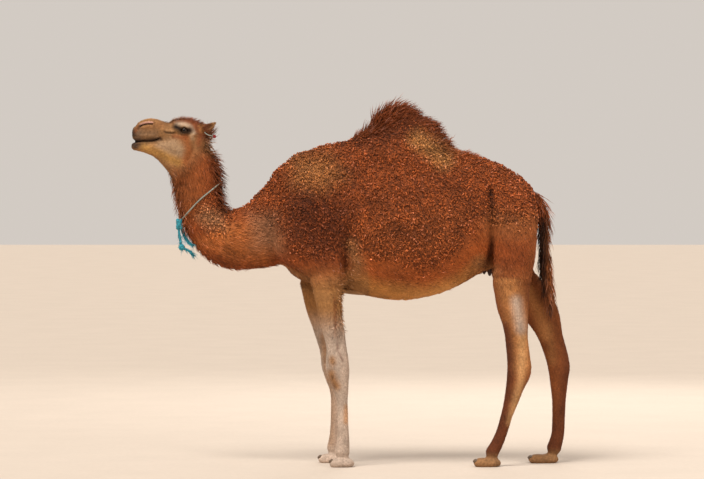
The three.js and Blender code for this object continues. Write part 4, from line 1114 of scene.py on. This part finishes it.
PUPIL_STRETCH = (1.0, 1.7, 1.0)
PUPIL_EDGE = 0.13, 0.17
IRIS_EDGE = 0.34, 0.38
PUPIL_BLACK = (0.002, 0.002, 0.002, 1)
IRIS_DARK = (0.012, 0.006, 0.003, 1)
IRIS_BROWN = (0.045, 0.02, 0.009, 1)
BALL_BROWN = (0.03, 0.018, 0.012, 1)


def eye_look(tree):
    """A dark brown eye with a wide pupil lying along the slit, on the ball's own map."""
    centred = node(tree, "ShaderNodeMapping", {"Vector": own_map(tree, "look"),
                                               "Location": (-0.5, -0.5, 0)}).outputs[0]
    pupil = vectors(tree, "LENGTH", vectors(tree, "MULTIPLY", centred, PUPIL_STRETCH))
    flecks = noise(tree, centred, 30.0).outputs["Fac"]
    iris = mixed(tree, "RGBA", flecks, IRIS_DARK, IRIS_BROWN)
    seen = mixed(tree, "RGBA", ranged(tree, pupil, *PUPIL_EDGE), PUPIL_BLACK, iris)
    past_iris = ranged(tree, vectors(tree, "LENGTH", centred), *IRIS_EDGE)
    return mixed(tree, "RGBA", past_iris, seen, BALL_BROWN), None, 0


# ---- The camera
camera_data = bpy.data.cameras.new("camera")
camera_data.lens = 193.5
camera_data.clip_end = 200


def aimed(thing, place, aim):
    thing.location = place
    thing.rotation_euler = (Vector(aim) - Vector(place)).to_track_quat("-Z", "Y").to_euler()


camera = placed("camera", camera_data)
aimed(camera, (0, -22, 1.75), (0, 0, 1.311))
bpy.context.scene.camera = camera
bpy.context.scene.view_settings.view_transform = "Standard"


# ---- The finishes
HIDE = finish_of("hide", hide_look, 0.85)
# Hair: its value at root and tip, the dark root being painted shade, how far locks differ, the clumps' width,
# fleck (partly painted highlight) and roughness.
FELT_HAIR = hair_finish("wool_hair", 0.12, 1.94, 0.52, 0.022, 1.2)
SLEEK_HAIR = hair_finish("sleek_hair", 0.42, 1.6, 0.5, 0.026, 1.15, 0.6)
SHORT_HAIR = hair_finish("short_hair", 0.88, 1.12, 0.16, 0.05, 1.1)
LONG_HAIR = hair_finish("long_hair", 0.5, 1.4, 0.4, 0.02, 1.5, 0.6)
LASH_HAIR = plain_finish("lash_hair", srgb(34, 24, 20), 0.6)
WET_EYE = finish_of("wet_eye", eye_look, 0.09, 0.18)
NAIL_HORN = plain_finish("nail_horn", srgb(92, 74, 58), 0.45, patches=60.0, depth=0.0008)
BARE_SKIN = plain_finish("bare_skin", srgb(66, 48, 42), 0.7, patches=40.0, grain=220.0, depth=0.0015)
CALLUS = plain_finish("callus", srgb(142, 104, 68), 0.8, patches=30.0, grain=160.0, amount=0.5, depth=0.002)
PALE_CORD = plain_finish("pale_cord", srgb(132, 136, 126), 0.9, amount=0.3)
BLUE_ROPE = plain_finish("blue_rope", srgb(50, 130, 144), 0.85, patches=90.0, amount=0.8, depth=0.001)
TAG_PLASTIC = plain_finish("tag_plastic", srgb(120, 34, 34), 0.4)


def fitted(piece, slot, *nodes):
    """The piece rides on the model and stands for its nodes. slot is not used."""
    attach(piece, "root")
    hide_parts(*nodes)
    return piece


def solid(name, shape, finish, slot, *nodes):
    return fitted(mesh_object(name, *shape, finish), slot, *nodes)


# ---- The knotted rope ends and the cord round the neck
ROPE_DIAMETER = 0.014
FLAP_WIDTH = 0.018
FLAP_THICKNESS = 0.007
STRAND_SWELL = 1.08  # how far the strands swell a rope past its radius
CORD_RADIUS = 0.0045
UPPER_KNOT = (-1.003, -0.026, 1.401), (0.021, 0.021, 0.035)
LOWER_KNOT = (-0.989, -0.03, 1.266), (0.025, 0.02, 0.019)
KNOT_LEAN = 0.4
LOOP_CENTRE = np.array((-0.884, 0, 1.528))
LOOP_NAPE = np.array((-0.766, 0, 1.64))
LOOP_LIFT = 0.012
LOOP_POINTS = 18
KNOT_ANGLE = math.pi + 0.2
END_ANGLE = 0.06


def knot_shape(centre, size):
    """Two crossed rolls of rope, with grooves wound round each."""
    def wound(points):
        x, y, z = points.T
        groove = 1 + 0.09 * np.cos(3 * np.arctan2(y, x) + 9 * z)
        return np.column_stack([x * groove, y * groove, z])

    roll = np.array(size) * (0.72, 0.92, 1)
    return together([ball_shape(centre, roll, KNOT_LEAN, wound), ball_shape(centre, roll, -KNOT_LEAN, wound)])


FIBRE_SCATTER = 0.003
FIBRE_SINK = 0.004
FIBRE_BEND = 0.35
FIBRE_RADII = [0.0011, 0.0011, 0.001, 0.0008, 0.0003]


def fibres(end, way, count, length, chance):
    """Loose fibres fanning out from a place on a rope."""
    way = np.array(way) / np.linalg.norm(way)
    shapes = []
    for _ in range(count):
        start = np.array(end) + chance.normal(0, FIBRE_SCATTER, 3) - way * FIBRE_SINK
        bend = chance.normal(0, FIBRE_BEND, 3)
        reach = length * chance.uniform(0.5, 1)
        path = [start + reach * t * (way + bend * t) for t in (0, 0.25, 0.5, 0.75, 1)]
        shapes.append(tube_shape(path, FIBRE_RADII, sides=4))
    return together(shapes)


def knotted_end(name, route, width, squash, nodes, fibre_length):
    """A laid rope from a knot to its frayed end, with loose fibres all along it."""
    fine = curve_points(route, 3 * (len(route) - 1))
    laid = tube_shape(fine, width / 2 / STRAND_SWELL, sides=18, squash=squash, strands=3, turns=22)
    rope = solid(name, laid, BLUE_ROPE, "rope", *nodes)
    chance = np.random.default_rng(5)
    loose = [fibres(place, np.array(place) - before, 16, fibre_length, chance)
             for before, place in zip(route[1:], route[2:])]
    loose.append(fibres(route[-1], np.array(route[-1]) - route[-3], 40, fibre_length, chance))
    return rope, solid(name + "_fray", together(loose), BLUE_ROPE, "rope")


rope, rope_fray = knotted_end("knotted_rope", ROPE, ROPE_DIAMETER, 1,
                              ("rope_strand", "rope_loose_end"), 0.034)
lower_knot = solid("lower_knot", knot_shape(*LOWER_KNOT), BLUE_ROPE, "rope", "rope_knot_lower")
flap, flap_fray = knotted_end("rope_flap_end", FLAP, FLAP_WIDTH, FLAP_THICKNESS / FLAP_WIDTH,
                              ("rope_flap",), 0.03)
solid("upper_knot", knot_shape(*UPPER_KNOT), BLUE_ROPE, "rope", "rope_knot_upper")


def loop_route():
    """The cord's way round the neck, just outside the coat, with both ends in the upper knot."""
    slope = LOOP_NAPE - LOOP_CENTRE
    slope /= np.linalg.norm(slope)
    points = []
    for i in range(LOOP_POINTS + 1):
        angle = KNOT_ANGLE + END_ANGLE + 2 * (math.pi - END_ANGLE) * i / LOOP_POINTS
        way = slope * math.cos(angle) + np.array((0, math.sin(angle), 0))
        near, far = 0.0, 0.3
        for _ in range(30):
            middle = (near + far) / 2
            place = (LOOP_CENTRE + way * middle)[None]
            if coat_field(place, turned(place, -HEAD_TURN))[0] < 0:
                near = middle
            else:
                far = middle
        lift = LOOP_LIFT * math.sin(angle) ** 2
        points.append(LOOP_CENTRE + way * (near + 0.001) + (0, 0, lift))
    return points


neck_cord = tube_shape(curve_points(loop_route(), 300), CORD_RADIUS / 1.1, sides=12, strands=3, turns=40)
solid("neck_cord_loop", neck_cord, PALE_CORD, "cord", "neck_cord")


# ---- The skin
def set_attribute(mesh, name, kind, values):
    layer = mesh.attributes.new(name, kind, "POINT")
    key = {"FLOAT_COLOR": "color", "FLOAT_VECTOR": "vector", "FLOAT": "value"}[kind]
    if kind == "FLOAT_COLOR":
        values = np.column_stack([values, np.ones(len(values))])
    layer.data.foreach_set(key, np.ascontiguousarray(values, np.float32).ravel())


NECK_AND_HEAD = np.vstack([LINKS["neck"][:, :3], LINKS["skull"][2:, :3]])
TRUNK_MIDDLE_Z = 1.5


def unwrapped(p):
    """Where points come on an unwrap of the skin: 0 to 1 along their part, and an angle about it.

    Returns the place along and the angle's cosine and sine. A leg's y is measured from its
    middle in place, so a left leg's inner side comes on the right leg's inner side.
    """
    x, y, z = p.T
    along = (x + 0.5) / 1.7
    across, up = y, z - TRUNK_MIDDLE_Z
    for k, name in enumerate(LEGS):
        links = LINKS[name]
        own = np.flatnonzero((z < 1.1) & (np.sign(y) == np.sign(links[0, 1]))
                             & ((x < 0.45) == (links[0, 0] < 0.45)))
        centre_x = np.interp(z[own], links[::-1, 2], links[::-1, 0])
        along[own] = (k + 0.98 * (1 - z[own] / 1.1)) / len(LEGS)
        across[own], up[own] = y[own] - links[0, 1], x[own] - centre_x
    front = np.flatnonzero(beyond(p, *NECK_PLANE, 0.01) > 0.5)
    nearest = np.linalg.norm(p[front][:, None] - NECK_AND_HEAD, axis=2).argmin(axis=1)
    along[front] = nearest / len(NECK_AND_HEAD)
    runs = np.gradient(NECK_AND_HEAD, axis=0)[nearest]
    runs /= np.linalg.norm(runs, axis=1)[:, None]
    away = p[front] - NECK_AND_HEAD[nearest]
    along[front] += (away * runs).sum(axis=1) / 2.0
    across[front], up[front] = away[:, 1], away[:, 2] * -runs[:, 0] + away[:, 0] * runs[:, 2]
    tail = np.flatnonzero((x > 1.05) & (np.abs(y) < 0.06) & (z > 0.85))
    along[tail] = (1.7 - z[tail]) / 0.85
    across[tail], up[tail] = y[tail], x[tail] - np.interp(z[tail], LINKS["tail"][::-1, 2],
                                                        LINKS["tail"][::-1, 0])
    size = np.maximum(np.hypot(across, up), 1e-6)
    return np.column_stack([np.clip(along, 0, 1), up / size, across / size])


def vertex_values(mesh, kind):
    values = np.empty(len(mesh.vertices) * 3, np.float32)
    mesh.vertices.foreach_get(kind, values)
    return values.reshape(-1, 3).astype(float)


hide = mesh_object("hide", *skin_shape(), HIDE)
fitted(hide, "coat", "head", "neck", "trunk", "tail", "ear_left", "ear_right", *LEGS)
skin = vertex_values(hide.data, "co")
normals = vertex_values(hide.data, "normal")
skin_h = turned(skin, -HEAD_TURN)
tone = np.vstack([painted(part, turned(part, -HEAD_TURN)) for part in np.array_split(skin, 12)])
lie = np.vstack([lie_of(*parts) for parts in zip(np.array_split(skin, 12), np.array_split(normals, 12))])
head_mask = head_share(skin)
neck_mask = beyond(skin, *NECK_PLANE, 0.12)
wool_mask = np.maximum(within(skin, WOOL, 0.12), within(skin, NECK_CURLS, 0.08))
wool_mask *= 1 - ((skin[:, 0] > 1.05) & (np.abs(skin[:, 1]) < 0.055))
set_attribute(hide.data, "tone", "FLOAT_COLOR", tone)
set_attribute(hide.data, "wool", "FLOAT", wool_mask)


# ---- Eyes
EYE_BULGE = 0.06
EYE_MAP_SCALE = 0.36  # the eye's front fills the middle of its map, and its back lies outside it


def eye_piece(name, side, cad_node):
    """An eye whose front bulges a little, with a map of it seen from straight ahead."""
    flip = np.array((1, side, 1))
    out, up, along = EYE_OUT * flip, EYE_UP * flip, EYE_ALONG * flip
    points, faces = ball_shape((0, 0, 0), (1, 1, 1), around=40, rows=28)
    ahead = points[:, 2]
    points = points * (1 + EYE_BULGE * ease((ahead - 0.7) / 0.3))[:, None]
    place = turned(np.array(EYE) * flip)[0]
    ways = turned(np.array([along, up, out]) + HEAD_PIVOT) - HEAD_PIVOT
    ball = points @ (ways * EYE_RADIUS) + place
    if side > 0:
        faces = [face[::-1] for face in faces]
    piece = mesh_object(name, ball, faces, WET_EYE)
    front = np.where(ahead > 0, EYE_MAP_SCALE, 2.0)
    uv = 0.5 + points[:, :2] * front[:, None]
    layer = piece.data.uv_layers.new(name="look")
    corners = np.empty(len(piece.data.loops), np.int32)
    piece.data.loops.foreach_get("vertex_index", corners)
    layer.data.foreach_set("uv", uv[corners].astype(np.float32).ravel())
    return fitted(piece, "eye", cad_node)


eye_piece("left_eyeball", -1, "eye_left")
eye_piece("right_eyeball", 1, "eye_right")


LASH_LENGTH = 0.016
LASH_RADII = [0.00075, 0.0007, 0.0005, 0.0002]


def lashes(count, length, seed):
    """Dark lashes along the upper lids of both eyes."""
    chance = np.random.default_rng(seed)
    shapes = []
    for side in (-1, 1):
        flip = np.array((1, side, 1))
        for i in range(count):
            place = (i + 0.5 + chance.uniform(-0.3, 0.3)) / count * 2 - 1
            aside = place * SLIT_HALF_LENGTH * 0.9
            high = SLIT_HALF_HEIGHT * (1 - place**2) + 0.001
            ahead = math.sqrt(max((EYE_RADIUS + LID_THICKNESS) ** 2 - aside**2 - high**2, 1e-6))
            root = np.array(EYE) + EYE_ALONG * aside + EYE_UP * high + EYE_OUT * (ahead - 0.001)
            sweep = EYE_OUT * 0.85 + EYE_ALONG * place * 0.6 - EYE_UP * 0.15
            reach = length * chance.uniform(0.75, 1.1) * (1 - 0.3 * place**2)
            path = [root + reach * (t * sweep + 0.35 * t * t * EYE_UP) for t in (0, 0.35, 0.7, 1)]
            path = turned(np.array(path) * flip)
            shapes.append(tube_shape(path, LASH_RADII, sides=4))
    return together(shapes)


solid("eyelashes", lashes(34, LASH_LENGTH, seed=7), LASH_HAIR, "coat")

# ---- Nails, chest pad, teats and ear tag
NAIL_SIZE = (0.015, 0.014, 0.011)
NAIL_LEAN = -0.35
NAIL_HEIGHT = 0.033
NAIL_SETBACK = 0.015


def nail_form(points):
    """A low nail with a ridge down its middle, thinner and narrower towards its front edge."""
    x, y, z = points.T
    front = np.clip(-x, 0, 1)
    ridge = 1 + 0.1 * np.exp(-((y / 0.25) ** 2))
    return np.column_stack([x * ridge, y * (1 - 0.15 * front), z * (0.85 - 0.3 * front)])


for foot, (heel, toe, middle) in FEET.items():
    for side, where in ((1, "outer"), (-1, "inner")):
        y = middle + side * math.copysign(TOE_SPREAD, middle)
        name = f"nail_{foot}_{where}"
        nail = ball_shape((toe + NAIL_SETBACK, y, NAIL_HEIGHT), NAIL_SIZE, NAIL_LEAN, nail_form)
        solid("shaped_" + name, nail, NAIL_HORN, "horn", name)

PAD_PLACE = (0.02, 0, 1.012)
PAD_SIZE = (0.15, 0.078, 0.022)
PAD_LEAN = 0.09
PAD_ROWS = 3
PAD_LUMPS = 0.02


def pad_form(points):
    """A pad with rows of small swellings."""
    x, y = points[:, 0], points[:, 1]
    swell = 1 + PAD_LUMPS * np.sin(PAD_ROWS * x * 5) * np.sin(PAD_ROWS * y * 4 + 1.3)
    return points * swell[:, None]


pad = ball_shape(PAD_PLACE, PAD_SIZE, PAD_LEAN, pad_form, 60, 40)
solid("callused_pad", pad, CALLUS, "dark_skin", "chest_pad")

TEATS = {"front": (0.768, 1.136), "rear": (0.8, 1.126)}
TEAT_ASIDE = 0.036
TEAT_SIZE = (0.012, 0.012, 0.027)


def teat_form(points):
    """A teat with a rounded tip and a few rings."""
    x, y, z = points.T
    width = 1 + 0.03 * np.cos(z * 14) - 0.12 * np.clip(-z, 0, 1)
    return np.column_stack([x * width, y * width, z])


for row, (x, z) in TEATS.items():
    for side, where in ((-1, "left"), (1, "right")):
        teat = ball_shape((x, side * TEAT_ASIDE, z), TEAT_SIZE, 0, teat_form, 24, 20)
        solid(f"soft_teat_{row}_{where}", teat, BARE_SKIN, "dark_skin", f"teat_{row}_{where}")

TAG_STRAP = [(-0.856, -0.066, 1.938), (-0.848, -0.08, 1.928), (-0.83, -0.09, 1.917), (-0.804, -0.092, 1.911)]
TAG_BUTTON = (-0.796, -0.092, 1.909), (0.01, 0.007, 0.01)
strap = tube_shape(curve_points(TAG_STRAP, 24), 0.0028, sides=12, squash=0.8)
solid("tag_loop", strap, PALE_CORD, "cord", "ear_tag_strap")


def button_form(points):
    """A button with a flat face and a rim."""
    x, y, z = points.T
    out = np.hypot(x, z)
    rim = 1 + 0.15 * np.exp(-(((out - 0.75) / 0.15) ** 2))
    return np.column_stack([x, np.clip(y, -0.6, 0.6) * rim, z])


solid("tag_button", ball_shape(*TAG_BUTTON, 0, button_form), TAG_PLASTIC, "tag", "ear_tag_button")


# ---- Locks of hair: small closed shapes lying along X from their roots
def lock_shape(path, widths, thickness, sides):
    """A lock along a path, as wide as widths to each side, closed at the root and ending in a point."""
    path = np.array(path, float)
    runs = np.gradient(path, axis=0)
    runs /= np.linalg.norm(runs, axis=1)[:, None]
    points, along = [], []
    for k, (centre, run) in enumerate(zip(path[:-1], runs)):
        across = np.array((0, 1, 0)) - run * run[1]
        across /= np.linalg.norm(across)
        up = np.cross(run, across)
        for s in range(sides):
            angle = 2 * math.pi * s / sides + math.pi / 2
            points.append(centre + widths[k] * (math.cos(angle) * across + thickness * math.sin(angle) * up))
            along.append((0.5 + 0.5 * math.cos(angle), k / (len(path) - 1)))
    points.append(path[-1])
    along.append((0.5, 1))
    rings = len(path) - 1
    faces = [tuple(range(sides))[::-1]]
    for s in range(sides):
        t = (s + 1) % sides
        faces += [(r * sides + s, r * sides + t, (r + 1) * sides + t, (r + 1) * sides + s)
                  for r in range(rings - 1)]
        faces.append(((rings - 1) * sides + s, (rings - 1) * sides + t, rings * sides))
    return points, faces, along


def lock_kind(name, paths, widths, thickness=0.5, sides=3):
    """A collection of locks of one kind, kept out of the scene."""
    kind = bpy.data.collections.new(name)
    for k, path in enumerate(paths):
        points, faces, along = lock_shape(path, widths, thickness, sides)
        piece = mesh_object(f"{name}_{k}", points, faces)
        layer = piece.data.uv_layers.new(name="lock")
        for loop, corner in zip(piece.data.loops, layer.data):
            corner.uv = along[loop.vertex_index]
        bpy.context.collection.objects.unlink(piece)
        kind.objects.link(piece)
    return kind


# A lock is one unit long and is scaled to its length. Each kind has straight and bent ones.
SHORT_LOCKS = lock_kind("short_lock", [
    [(-0.05, 0, -0.08), (0.45, bend, 0.1), (1, 1.6 * bend, 0.03)] for bend in (-0.12, 0.03, 0.14)
], (0.11, 0.085))
WAVY_LOCKS = lock_kind("wavy_lock", [
    [(-0.04, 0, -0.06), (0.3, bend, 0.07), (0.65, bend * 0.3, 0.1), (1, -bend, 0.02)]
    for bend in (-0.13, 0.08, 0.16)
], (0.085, 0.09, 0.05))
LONG_LOCKS = lock_kind("long_lock", [
    [(-0.03, 0, -0.04), (0.2, bend, 0.05), (0.45, -bend, 0.07), (0.72, bend * 0.8, 0.04),
     (1, -bend * 0.4, -0.03)]
    for bend in (-0.07, 0.03, 0.08)
], (0.05, 0.06, 0.045, 0.025))
CURLS = lock_kind("curl", [
    [(-0.1, 0, -0.25), (0.0, 0.02 * turn, 0.3), (0.3, 0.1 * turn, 0.62), (0.66, 0.26 * turn, 0.6),
     (0.88, 0.52 * turn, 0.3), (0.72, 0.78 * turn, 0.02)]
    for turn in (-1.0, -0.5, 0.6, 1.0)
], (0.22, 0.25, 0.26, 0.22, 0.13), 0.8, 4)


# ---- The coat's growing, as one tree of geometry nodes
BAKE_PATCH = 0.003  # each lock's part of the coat's map
MOST_ROOTS = 90000.0  # per square metre, before they are thinned to the spacing


def coat_tree():
    tree, given, out = group(
        "grow_coat", "GeometryNodeTree",
        [("Geometry", "Geometry", None), ("Where", "String", None), ("Spacing", "Float", 0.01),
         ("Locks", "Collection", None), ("Turn Least", "Vector", (0, 0, 0)),
         ("Turn Most", "Vector", (0, 0, 0)), ("Size Least", "Vector", (1, 1, 1)),
         ("Size Most", "Vector", (1, 1, 1)), ("Seed", "Int", 0), ("Finish", "Material", None)],
        [("Geometry", "Geometry")])

    def kept(name, kind):
        made = node(tree, "GeometryNodeInputNamedAttribute", {"Name": name}, data_type=kind)
        return live(made, "Attribute")

    def chance(kind, least, most, offset):
        seed = maths(tree, "ADD", given["Seed"], float(offset))
        made = node(tree, "FunctionNodeRandomValue", {"Min": least, "Max": most, "Seed": seed},
                    data_type=kind)
        return live(made, "Value")

    def stored(geometry, name, kind, domain, value):
        made = node(tree, "GeometryNodeStoreNamedAttribute",
                    {"Geometry": geometry, "Name": name, "Value": value}, data_type=kind, domain=domain)
        return made.outputs["Geometry"]

    roots = node(tree, "GeometryNodeDistributePointsOnFaces",
                 {"Mesh": given["Geometry"], "Distance Min": given["Spacing"], "Density Max": MOST_ROOTS,
                  "Density Factor": kept(given["Where"], "FLOAT"), "Seed": given["Seed"]},
                 distribute_method="POISSON").outputs
    shaded = stored(roots["Points"], "shade", "FLOAT", "POINT", chance("FLOAT", 0.0, 1.0, 1))
    facing = node(tree, "FunctionNodeAxesToRotation",
                  {"Primary Axis": roots["Normal"], "Secondary Axis": kept("lie", "FLOAT_VECTOR")},
                  primary_axis="Z", secondary_axis="X").outputs[0]
    turn = node(tree, "FunctionNodeEulerToRotation",
                {0: chance("FLOAT_VECTOR", given["Turn Least"], given["Turn Most"], 2)}).outputs[0]
    turned_way = node(tree, "FunctionNodeRotateRotation", {"Rotation": facing, "Rotate By": turn},
                      rotation_space="LOCAL").outputs[0]
    size = node(tree, "ShaderNodeVectorMath",
                {0: chance("FLOAT_VECTOR", given["Size Least"], given["Size Most"], 3),
                 "Scale": kept("growth", "FLOAT")}, operation="SCALE").outputs[0]
    kinds = node(tree, "GeometryNodeCollectionInfo", {"Collection": given["Locks"], "Separate Children": True,
                                                      "Reset Children": True}).outputs[0]
    locks = node(tree, "GeometryNodeInstanceOnPoints",
                 {"Points": shaded, "Instance": kinds, "Pick Instance": True, "Scale": size,
                  "Instance Index": chance("INT", 0, 11, 4), "Rotation": turned_way}).outputs[0]
    joined_locks = node(tree, "GeometryNodeRealizeInstances", {"Geometry": locks}).outputs[0]
    home = node(tree, "ShaderNodeSeparateXYZ", {0: kept("unwrap", "FLOAT_VECTOR")}).outputs
    angle = maths(tree, "ARCTAN2", home["Z"], home["Y"])
    around = maths(tree, "MULTIPLY_ADD", angle, 1 / (2 * math.pi), 0.5)
    root = node(tree, "ShaderNodeCombineXYZ", {"X": home["X"], "Y": around}).outputs[0]
    patch = vectors(tree, "MULTIPLY_ADD", kept("lock", "FLOAT_VECTOR"), (BAKE_PATCH, BAKE_PATCH, 0.0), root)
    mapped = stored(joined_locks, "OFBake", "FLOAT2", "CORNER", patch)
    finished = node(tree, "GeometryNodeSetMaterial", {"Geometry": mapped, "Material": given["Finish"]})
    tree.links.new(finished.outputs[0], out["Geometry"])
    return tree


GROW_COAT = coat_tree()
COAT_ATTRIBUTES = {"tone", "shade", "lock", "OFBake", "position", "sharp_face", "material_index"}
COAT_THINNING = 1.0


def grown(name, where, growth, spacing, locks, finish, length, width, lift, spread, seed):
    """A coat over the hide where the mask where says, with its locks scaled by growth.

    length, width and lift, which is how far the locks stand up in radians, are least and most.
    """
    set_attribute(hide.data, "here", "FLOAT", where)
    set_attribute(hide.data, "growth", "FLOAT", growth)
    piece = placed(name, hide.data)
    grower = piece.modifiers.new("grow", "NODES")
    grower.node_group = GROW_COAT
    values = {
        "Where": "here",
        "Spacing": spacing * COAT_THINNING,
        "Locks": locks,
        "Turn Least": (-spread, -lift[1], -spread),
        "Turn Most": (spread, -lift[0], spread),
        "Size Least": (length[0], width[0], width[0]),
        "Size Most": (length[1], width[1], width[1]),
        "Seed": seed,
        "Finish": finish,
    }
    for item in GROW_COAT.interface.items_tree:
        if item.name in values and item.in_out == "INPUT":
            grower[item.identifier] = values[item.name]
    piece.data.update_tag()
    bpy.context.view_layer.update()
    shape = piece.evaluated_get(bpy.context.evaluated_depsgraph_get())
    made = bpy.data.meshes.new_from_object(shape)
    piece.modifiers.remove(grower)
    piece.data = made
    made.name = name
    for extra in [a.name for a in made.attributes if a.name not in COAT_ATTRIBUTES
                  and not a.name.startswith(".")]:
        made.attributes.remove(made.attributes[extra])
    for passing in ("here", "growth"):
        hide.data.attributes.remove(hide.data.attributes[passing])
    fitted(piece, "coat")


def between(values, low, high):
    return ((values >= low) & (values < high)).astype(float)


x, y, z = skin.T
crest = falloff(skin, CREST + [(0.6, 0, 1.86), (0.72, 0, 1.79)], 0.17) * ease((normals[:, 2] + 0.25) / 0.5)
nape = falloff(skin, NAPE, 0.095)
throat_hair = falloff(skin, THROAT_LINE, 0.1) * (1 - head_mask)
crown = falloff(skin, CROWN, 0.07)
ears = between(skin_h[:, 0], -0.885, -0.7) * (np.abs(skin_h[:, 1]) > 0.05) * (skin_h[:, 2] > 1.93)
elbow = falloff(skin, [(-0.02, 1.2), (-0.06, 1.06), (-0.07, 0.9), (-0.08, 0.8)], 0.075)
tail_mask = ((x > 1.055) & (np.abs(y) < 0.06) & (z > 0.86)).astype(float)
eye_near = ease(1 - (np.linalg.norm(mirrored(skin_h) - EYE, axis=1) - 0.024) / 0.01)
muzzle = falloff(skin_h, MUZZLE, 0.08)
openings = np.maximum(falloff(skin_h, NOSTRIL, 0.013), falloff(skin_h, MOUTH, 0.014)) * (head_mask > 0.5)
finer_below = 1 - 0.6 * ease((0.15 - z) / 0.1)
growth = finer_below * (1 - 0.55 * muzzle * head_mask)
set_attribute(hide.data, "lie", "FLOAT_VECTOR", lie)
set_attribute(hide.data, "unwrap", "FLOAT_VECTOR", unwrapped(skin))

above_toes = ease((z - 0.05) / 0.03)
head_place = head_mask * (1 - eye_near) * (1 - openings) * (1 - 0.75 * muzzle)
smooth_neck = neck_mask * (1 - head_mask) * (1 - wool_mask)
under = (1 - neck_mask) * (1 - wool_mask) * ease((z - 1.0) / 0.1) * (1 - tail_mask)
fore_place = between(x, -0.42, 0.35) * (1 - ease((z - 1.0) / 0.15)) * above_toes
hind_place = between(x, 0.6, 1.3) * (1 - ease((z - 1.08) / 0.15)) * above_toes * (1 - tail_mask)
hump_growth = (0.35 + 0.85 * crest) * np.interp(x, (0.24, 0.36, 0.46, 0.56, 0.66, 0.76),
                                                (1, 0.42, 0.5, 0.8, 0.55, 0.3))
on_neck = beyond(skin, *NECK_PLANE, 0.01) > 0.5
WOOL_PARTS = {"neck": on_neck, "shoulder": ~on_neck * between(x, -2, -0.1), "front": between(x, -0.1, 0.22),
              "middle": between(x, 0.22, 0.54), "rear": between(x, 0.54, 2)}
# Each coat's name, place, growth, spacing, locks, finish, length, width, lift, spread and seed.
COATS = [
    ("wool_" + part, wool_mask * stretch, growth, 0.0093, CURLS, FELT_HAIR,
     (0.0108, 0.0168), (0.0108, 0.0158), (-0.1, 0.35), 3.1, 31 + k)
    for k, (part, stretch) in enumerate(WOOL_PARTS.items())
] + [
    ("hump_hair", np.minimum(1, 2.5 * crest), hump_growth, 0.0078, LONG_LOCKS, LONG_HAIR,
     (0.066, 0.106), (0.045, 0.08), (0.15, 0.72), 0.5, 14),
    ("mane", np.minimum(1, 2 * nape), 0.5 + 0.65 * nape, 0.0066, LONG_LOCKS, LONG_HAIR,
     (0.055, 0.09), (0.035, 0.06), (0.3, 1.0), 0.5, 15),
    ("throat_hair", np.minimum(1, 1.5 * throat_hair), 0.5 + 0.5 * throat_hair, 0.009, LONG_LOCKS, LONG_HAIR,
     (0.05, 0.085), (0.035, 0.06), (0.15, 0.7), 0.5, 23),
    ("crown_hair", crown, 0.5 + 0.5 * crown, 0.0052, WAVY_LOCKS, LONG_HAIR,
     (0.026, 0.046), (0.016, 0.026), (0.2, 0.75), 0.6, 16),
    ("ear_hair", ears, growth, 0.0042, SHORT_LOCKS, SHORT_HAIR,
     (0.009, 0.015), (0.008, 0.012), (0.05, 0.35), 0.4, 24),
    ("elbow_hair", elbow * (1 - wool_mask), growth, 0.0085, WAVY_LOCKS, LONG_HAIR,
     (0.022, 0.036), (0.018, 0.03), (0.15, 0.7), 0.9, 25),
    ("head_hair", head_place * (1 - 0.7 * crown), growth, 0.0052, SHORT_LOCKS, SHORT_HAIR,
     (0.009, 0.015), (0.007, 0.01), (0.0, 0.12), 0.3, 17),
    ("neck_hair", smooth_neck, growth, 0.0082, WAVY_LOCKS, SLEEK_HAIR,
     (0.026, 0.042), (0.014, 0.021), (0.02, 0.22), 0.4, 18),
    ("belly_hair", under, growth, 0.0105, WAVY_LOCKS, SLEEK_HAIR,
     (0.02, 0.032), (0.015, 0.022), (0.01, 0.15), 0.4, 19),
] + [
    (name, place, growth, 0.0078, SHORT_LOCKS, SHORT_HAIR,
     (0.013, 0.021), (0.009, 0.013), (0.0, 0.09), 0.3, seed)
    for name, place, seed in (("foreleg_hair", fore_place, 20), ("hindleg_hair", hind_place, 21))
] + [
    ("tail_hair", tail_mask, growth, 0.0068, LONG_LOCKS, LONG_HAIR,
     (0.06, 0.13), (0.04, 0.07), (0.03, 0.35), 0.25, 22),
]
for coat in COATS:
    grown(*coat)
for name in ("lie", "unwrap"):
    hide.data.attributes.remove(hide.data.attributes[name])
for kind in (SHORT_LOCKS, WAVY_LOCKS, LONG_LOCKS, CURLS):
    for piece in list(kind.objects):
        bpy.data.objects.remove(piece)
    bpy.data.collections.remove(kind)


# ---- The floor and the light
FLOOR_HALF = 60.0
PALE_FLOOR = plain_finish("pale_floor", srgb(196, 182, 168), 0.9, 2.0, 30.0, 0.04, 0)
corners = [(x * FLOOR_HALF, y * FLOOR_HALF, 0) for x, y in ((-1, -1), (1, -1), (1, 1), (-1, 1))]
floor = mesh_object("floor", corners, [(0, 1, 2, 3)], PALE_FLOOR, smooth=False)


def lamp(name, kind, power, colour, place, aim, **more):
    light = bpy.data.lights.new(name, kind)
    for key, value in {"energy": power, "color": colour, **more}.items():
        setattr(light, key, value)
    aimed(placed(name, light), place, aim)


lamp("fill", "AREA", 190, (1.0, 0.98, 0.96), (5.5, -6.0, 3.5), (0, 0, 1.2), shape="DISK", size=5.0)
lamp("back", "AREA", 200, (1.0, 0.98, 0.95), (2.0, 7.0, 5.0), (0, 0, 1.2), shape="DISK", size=5.0)
lamp("key", "SUN", 3.2, (1.0, 0.97, 0.92), (0, 0, 0), (0.35, 0.55, -1), angle=0.5)
world = bpy.data.worlds.new("pale")
world.use_nodes = True
world.node_tree.nodes["Background"].inputs["Color"].default_value = (*srgb(226, 218, 210), 1)
world.node_tree.nodes["Background"].inputs["Strength"].default_value = 0.85
bpy.context.scene.world = world
